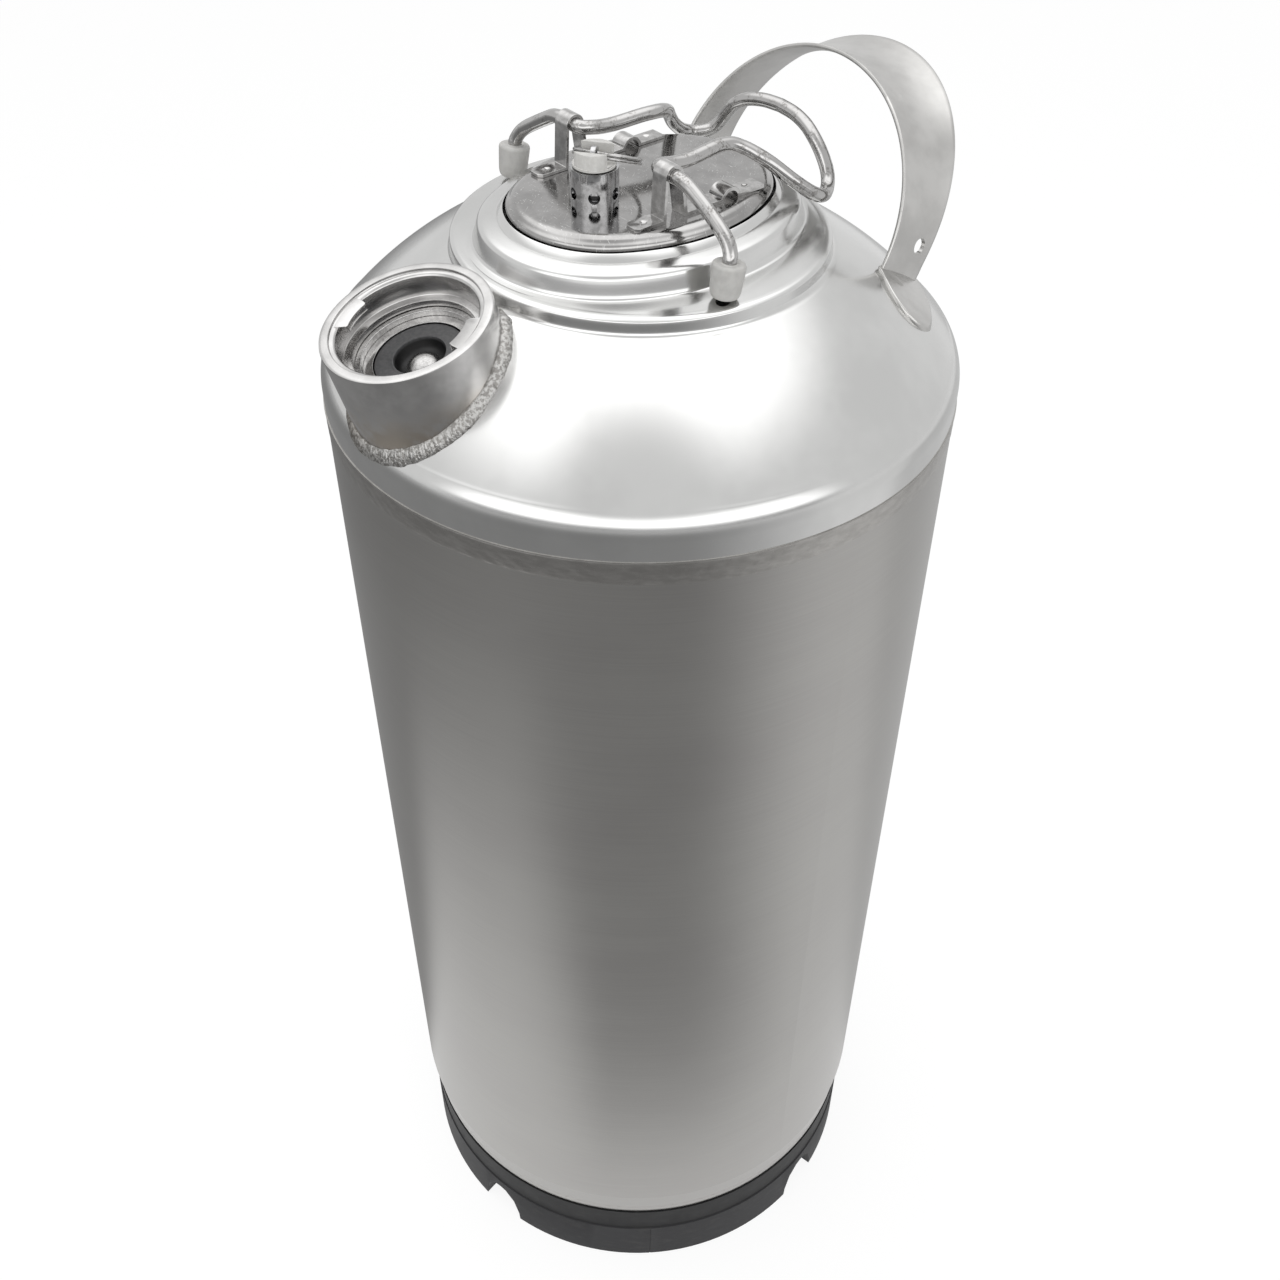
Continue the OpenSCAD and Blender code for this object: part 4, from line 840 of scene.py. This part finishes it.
def make_strap():
    """Handle strap with both feet: the strap's section carried along the arch, pierced once in each leg, and two
    rounded tongues that follow the dome. A hole is made by drawing square rings of the grid out to circles."""
    na, nv = 260, 27
    mean_r, width = 55.0, 22.1
    hole_turn, hole_share, hole_r, hole_cells, eased_cells = math.radians(7.1), 0.68, 2.8, 3, 7
    a = np.linspace(math.radians(-11), math.radians(191), na)
    v = np.linspace(0.0, 1.0, nv)
    shift_a, shift_v = np.zeros((na, nv)), np.zeros((na, nv))
    open_cells = np.zeros((na - 1, nv - 1), bool)
    i, j = np.meshgrid(*[np.arange(-eased_cells, eased_cells + 1)] * 2, indexing="ij")
    ring = np.maximum(np.abs(i), np.abs(j))
    x, y = i * ((a[1] - a[0]) * mean_r), j * (width / (nv - 1))
    far = np.maximum(np.hypot(x, y), 1e-9)
    eased = np.clip((ring - hole_cells) / (eased_cells - hole_cells), 0, 1)
    grow = (1 - eased) * hole_r + eased * far
    walk = range(-hole_cells, hole_cells)
    back = range(hole_cells, -hole_cells, -1)
    square = ([(d, -hole_cells) for d in walk] + [(hole_cells, d) for d in walk]
              + [(d, hole_cells) for d in back] + [(-hole_cells, d) for d in back])
    rims = []
    for turn in (hole_turn, math.pi - hole_turn):
        ci, cj = int(round((turn - a[0]) / (a[1] - a[0]))), int(round(hole_share * (nv - 1)))
        keep = (ring >= hole_cells) & (cj + j >= 0) & (cj + j < nv)
        shift_a[(ci + i)[keep], (cj + j)[keep]] = ((x / far * grow - x) / mean_r)[keep]
        shift_v[(ci + i)[keep], (cj + j)[keep]] = ((y / far * grow - y) / width)[keep]
        open_cells[ci - hole_cells:ci + hole_cells, cj - hole_cells:cj + hole_cells] = True
        rims.append([(ci + d, cj + e) for d, e in square])

    turn, share = a[:, None] + shift_a, v[None, :] + shift_v
    outer, inner = strap_surface(turn, share, 0.0), strap_surface(turn, share, SHEET)
    mark_turn, mark_share, mark_r, mark_width, mark_depth = math.radians(61), 0.17, 2.3, 0.45, 0.3
    mark = np.hypot((turn - mark_turn) * 58.0, (share - mark_share) * 24.0)
    outer[..., 2] -= mark_depth * np.exp(-((mark - mark_r) / mark_width) ** 2) * (share > mark_share)
    edge_out, edge_depth = np.array([[0.55, 0.12], [0.85, 0.5], [0.55, 0.88]]).T
    edge_out = 0.5 * edge_out[None, :] / 22.0
    rear = strap_surface(a[:, None], 1 + edge_out, SHEET * edge_depth[None, :])
    front = strap_surface(a[:, None], -edge_out[:, ::-1], SHEET * edge_depth[None, ::-1])
    g = np.concatenate([outer, rear, inner[:, ::-1], front], 1)
    n = g.shape[1]
    cells = np.zeros((na - 1, n), bool)
    cells[:, :nv - 1] = open_cells
    cells[:, nv + 3:2 * nv + 2] = open_cells[:, ::-1]
    faces = [f for f, gone in zip(grid_faces(na, n, False, True), cells.reshape(-1)) if not gone]
    below = 2 * nv + 2
    for rim in rims:
        for (i0, j0), (i1, j1) in zip(rim, rim[1:] + rim[:1]):
            faces.append([i0 * n + j0, i1 * n + j1, i1 * n + below - j1, i0 * n + below - j0])
    faces += end_caps(na, n)

    points, count, tongue = [g.reshape(-1, 3)], na * n, strap_tongue()
    for foot in (tongue, tongue * MIRRORED):
        points.append(foot.reshape(-1, 3))
        faces += grid_faces(*foot.shape[:2], True, start=count)
        count += len(points[-1])
    piece("handle_strap", np.vstack(points), faces, "keg", "strap_handle", 45)


for make in (make_head, make_collar, make_neck, make_valve_seal, make_ball, make_lid, make_bail, make_caps, make_ring,
             make_seam, make_bead, make_strap):
    make()

for softened_piece in (
    ("left_bracket", "lid", "bracket_steel", 0.22),
    ("right_bracket", "lid", "bracket_steel", 0.22),
    ("relief_body", "lid", "relief_chrome", 0.25),
    ("relief_cap", "relief_plunger", "relief_white", 0.3),
    ("relief_stem", "relief_plunger", "relief_chrome", 0.2),
    ("valve_housing", "keg", "tube_steel", 0.2),
    ("retaining_ring", "keg", "spring_steel", 0.25),
    ("base_boot", "keg", "boot_rubber", 0.8),
):
    softened(*softened_piece)


# Floor, light and camera, in metres

def ground_square(name, half, height, finish):
    """Level square of the stage with a finish."""
    mesh = bpy.data.meshes.new(name)
    corners = [(x * half, y * half, height) for x, y in ((-1, -1), (1, -1), (1, 1), (-1, 1))]
    mesh.from_pydata(corners, [], [(0, 1, 2, 3)])
    mesh.materials.append(finish.material)
    obj = bpy.data.objects.new(name, mesh)
    bpy.context.scene.collection.objects.link(obj)
    return obj


def white_floor():
    """Pale studio floor: white to the eye and in reflections, with a share of real shading that keeps the shadow."""
    f = Finish("pale_studio_floor", "#f2f2f2", 0.8)
    ray = f.add("ShaderNodeLightPath").outputs
    seen = f.math("MAXIMUM", ray["Is Camera Ray"], ray["Is Glossy Ray"])
    seen = f.math("MAXIMUM", seen, ray["Is Transmission Ray"])
    glow = f.add("ShaderNodeEmission", {"Color": (1, 1, 1, 1), "Strength": 1.1})
    f.surface(f.math("MULTIPLY", seen, 0.8), f.shader, glow)
    ground_square("floor", 8.0, -0.0005, f)


def dark_card():
    """Dark card on the floor around the keg, out of the picture: only the metal shows it. Its darkness follows the
    turn about the keg, from the picture's front round its right, and the distance: deep in front and fading in
    slowly on the left, paler behind, and gone far off."""
    f = Finish("dark_studio_card", "#5a5a5a", 0.9)
    x, y, _ = f.axes()
    across = f.math("ADD", f.math("MULTIPLY", x, RIGHTWARD[0]), f.math("MULTIPLY", y, RIGHTWARD[1]))
    ahead = f.math("SUBTRACT", f.math("MULTIPLY", x, OUTWARD[0]), f.math("MULTIPLY", y, -OUTWARD[1]))
    far = f.length(across, ahead)
    turn = f.math("ARCTAN2", across, ahead)
    reach = f.math("MULTIPLY_ADD", f.ramp(turn, -0.9, -0.15, 1.0, 0.0), 0.34, 0.26)
    front = f.math("MULTIPLY", f.ramp(far, 0.15, reach), f.ramp(turn, 0.2, 1.3, 0.86, 0.17))
    front = f.math("MULTIPLY", front, f.ramp(far, 0.4, 0.75, 1.0, 1.12))
    front = f.math("MULTIPLY", front, f.ramp(far, 1.2, 4.0, 1.0, 0.62))
    right = f.math("ADD", f.ramp(turn, 1.5, 1.8, 0.0, 0.45), f.ramp(turn, 2.3, 3.14, 0.0, 0.2))
    left = f.math("MULTIPLY", f.ramp(turn, -1.72, -1.5, 1.0, 0.0), f.ramp(turn, -3.14, -2.3, 0.65, 0.85))
    back = f.math("MULTIPLY", f.math("MAXIMUM", right, left), f.ramp(far, 2.0, 2.5, 1.0, 0.0))
    clear = f.add("ShaderNodeBsdfTransparent")
    glow = f.add("ShaderNodeEmission", {"Color": (0.25, 0.25, 0.25, 1), "Strength": 1.0})
    f.surface(f.math("MAXIMUM", front, back), clear, glow)
    card = ground_square("dark_card", 7.5, 0, f)
    card.visible_camera = card.visible_diffuse = card.visible_transmission = card.visible_shadow = False


def studio_world():
    """White to the camera and through clear parts, one even level on the object, and for reflections a soft room:
    a light overhead, a light low in front, a dusky band under it and a plain gap between the two lights."""
    plain, room, gap_level, overhead_gain, front_gain = 0.5, 0.86, 0.84, 1.05, 1.15
    overhead_at, gap_at, up, outward = (-0.1665, 0.0329, 0.9855), (0.4767, -0.3902, 0.788), (0, 0, 1), (*OUTWARD, 0.0)
    world = bpy.data.worlds.new("studio")
    bpy.context.scene.world = world
    world.use_nodes = True
    n = Nodes(world.node_tree)
    ray = n.add("ShaderNodeLightPath").outputs
    direction = n.add("ShaderNodeTexCoord").outputs["Generated"]

    def facing(way, low, high, to_low=0.0, to_high=1.0):
        """Soft step of the cosine between the ray's direction and a way."""
        return n.ramp(n.dot(direction, way), low, high, to_low, to_high)

    side = facing(outward, 0.30, 0.62)
    front = n.math("MULTIPLY", n.math("MULTIPLY", side, facing(up, 0.06, 0.18)), facing(up, 0.45, 0.68, 1.0, 0.0))
    dusk = n.math("MULTIPLY", side, facing(up, 0.04, 0.13, -0.38, 0.0))
    lights = n.math("ADD", n.math("MULTIPLY", facing(overhead_at, 0.56, 0.9), overhead_gain),
                    n.math("MULTIPLY_ADD", front, front_gain, dusk))
    gap = facing(gap_at, 0.84, 0.985)
    lit = n.math("ADD", n.math("MULTIPLY", n.math("ADD", room, lights), n.math("SUBTRACT", 1.0, gap)),
                 n.math("MULTIPLY", gap, gap_level))
    level = n.math("MULTIPLY_ADD", ray["Is Glossy Ray"], n.math("SUBTRACT", lit, plain), plain)
    white = n.math("MAXIMUM", ray["Is Camera Ray"], ray["Is Transmission Ray"])
    level = n.math("MULTIPLY_ADD", white, n.math("SUBTRACT", 1.0, level), level)
    grey = n.add("ShaderNodeCombineXYZ", {0: level, 1: level, 2: level}).outputs[0]
    n.tree.links.new(grey, n.tree.nodes["Background"].inputs["Color"])


def placed(name, data, right, up, back, at):
    """Object of a lamp's or camera's data with its three axes along these directions and its origin at a point."""
    obj = bpy.data.objects.new(name, data)
    bpy.context.scene.collection.objects.link(obj)
    obj.matrix_world = Matrix([*np.column_stack([right, up, back, at]).tolist(), [0, 0, 0, 1]])
    return obj


def lamp(name, at, aim, size, watts):
    """Rectangular lamp that points at a place and that reflections leave out."""
    light = bpy.data.lights.new(name, "AREA")
    light.shape = "RECTANGLE"
    light.size, light.size_y = size
    light.energy = watts
    back = np.subtract(at, aim) / np.linalg.norm(np.subtract(at, aim))
    right = np.cross([0, 0, 1.0] if abs(back[2]) < 0.95 else [0, 1.0, 0], back)
    right /= np.linalg.norm(right)
    placed(name, light, right, np.cross(back, right), back, at).visible_glossy = False


def camera():
    """Camera solved from the circles and ovals of the keg in the picture."""
    data = bpy.data.cameras.new("camera")
    data.sensor_width = 36
    data.lens = 40.60
    data.clip_start = 0.01
    right = np.array([0.6307, 0.7760, 0.0039])
    ahead = np.array([-0.5769, 0.4722, -0.6664])
    at = (0.3569, -0.2916, 0.7404)
    bpy.context.scene.camera = placed("camera", data, right, np.cross(right, ahead), -ahead, at)


white_floor()
dark_card()
studio_world()
lamp("overhead", (-0.35, -0.1, 2.3), (0, 0, 0.5), (1.5, 1.5), 14)
lamp("front", (1.75, -1.05, 1.25), (0, 0, 0.5), (2.2, 0.9), 14)
camera()
bpy.context.scene.view_settings.view_transform = "Standard"
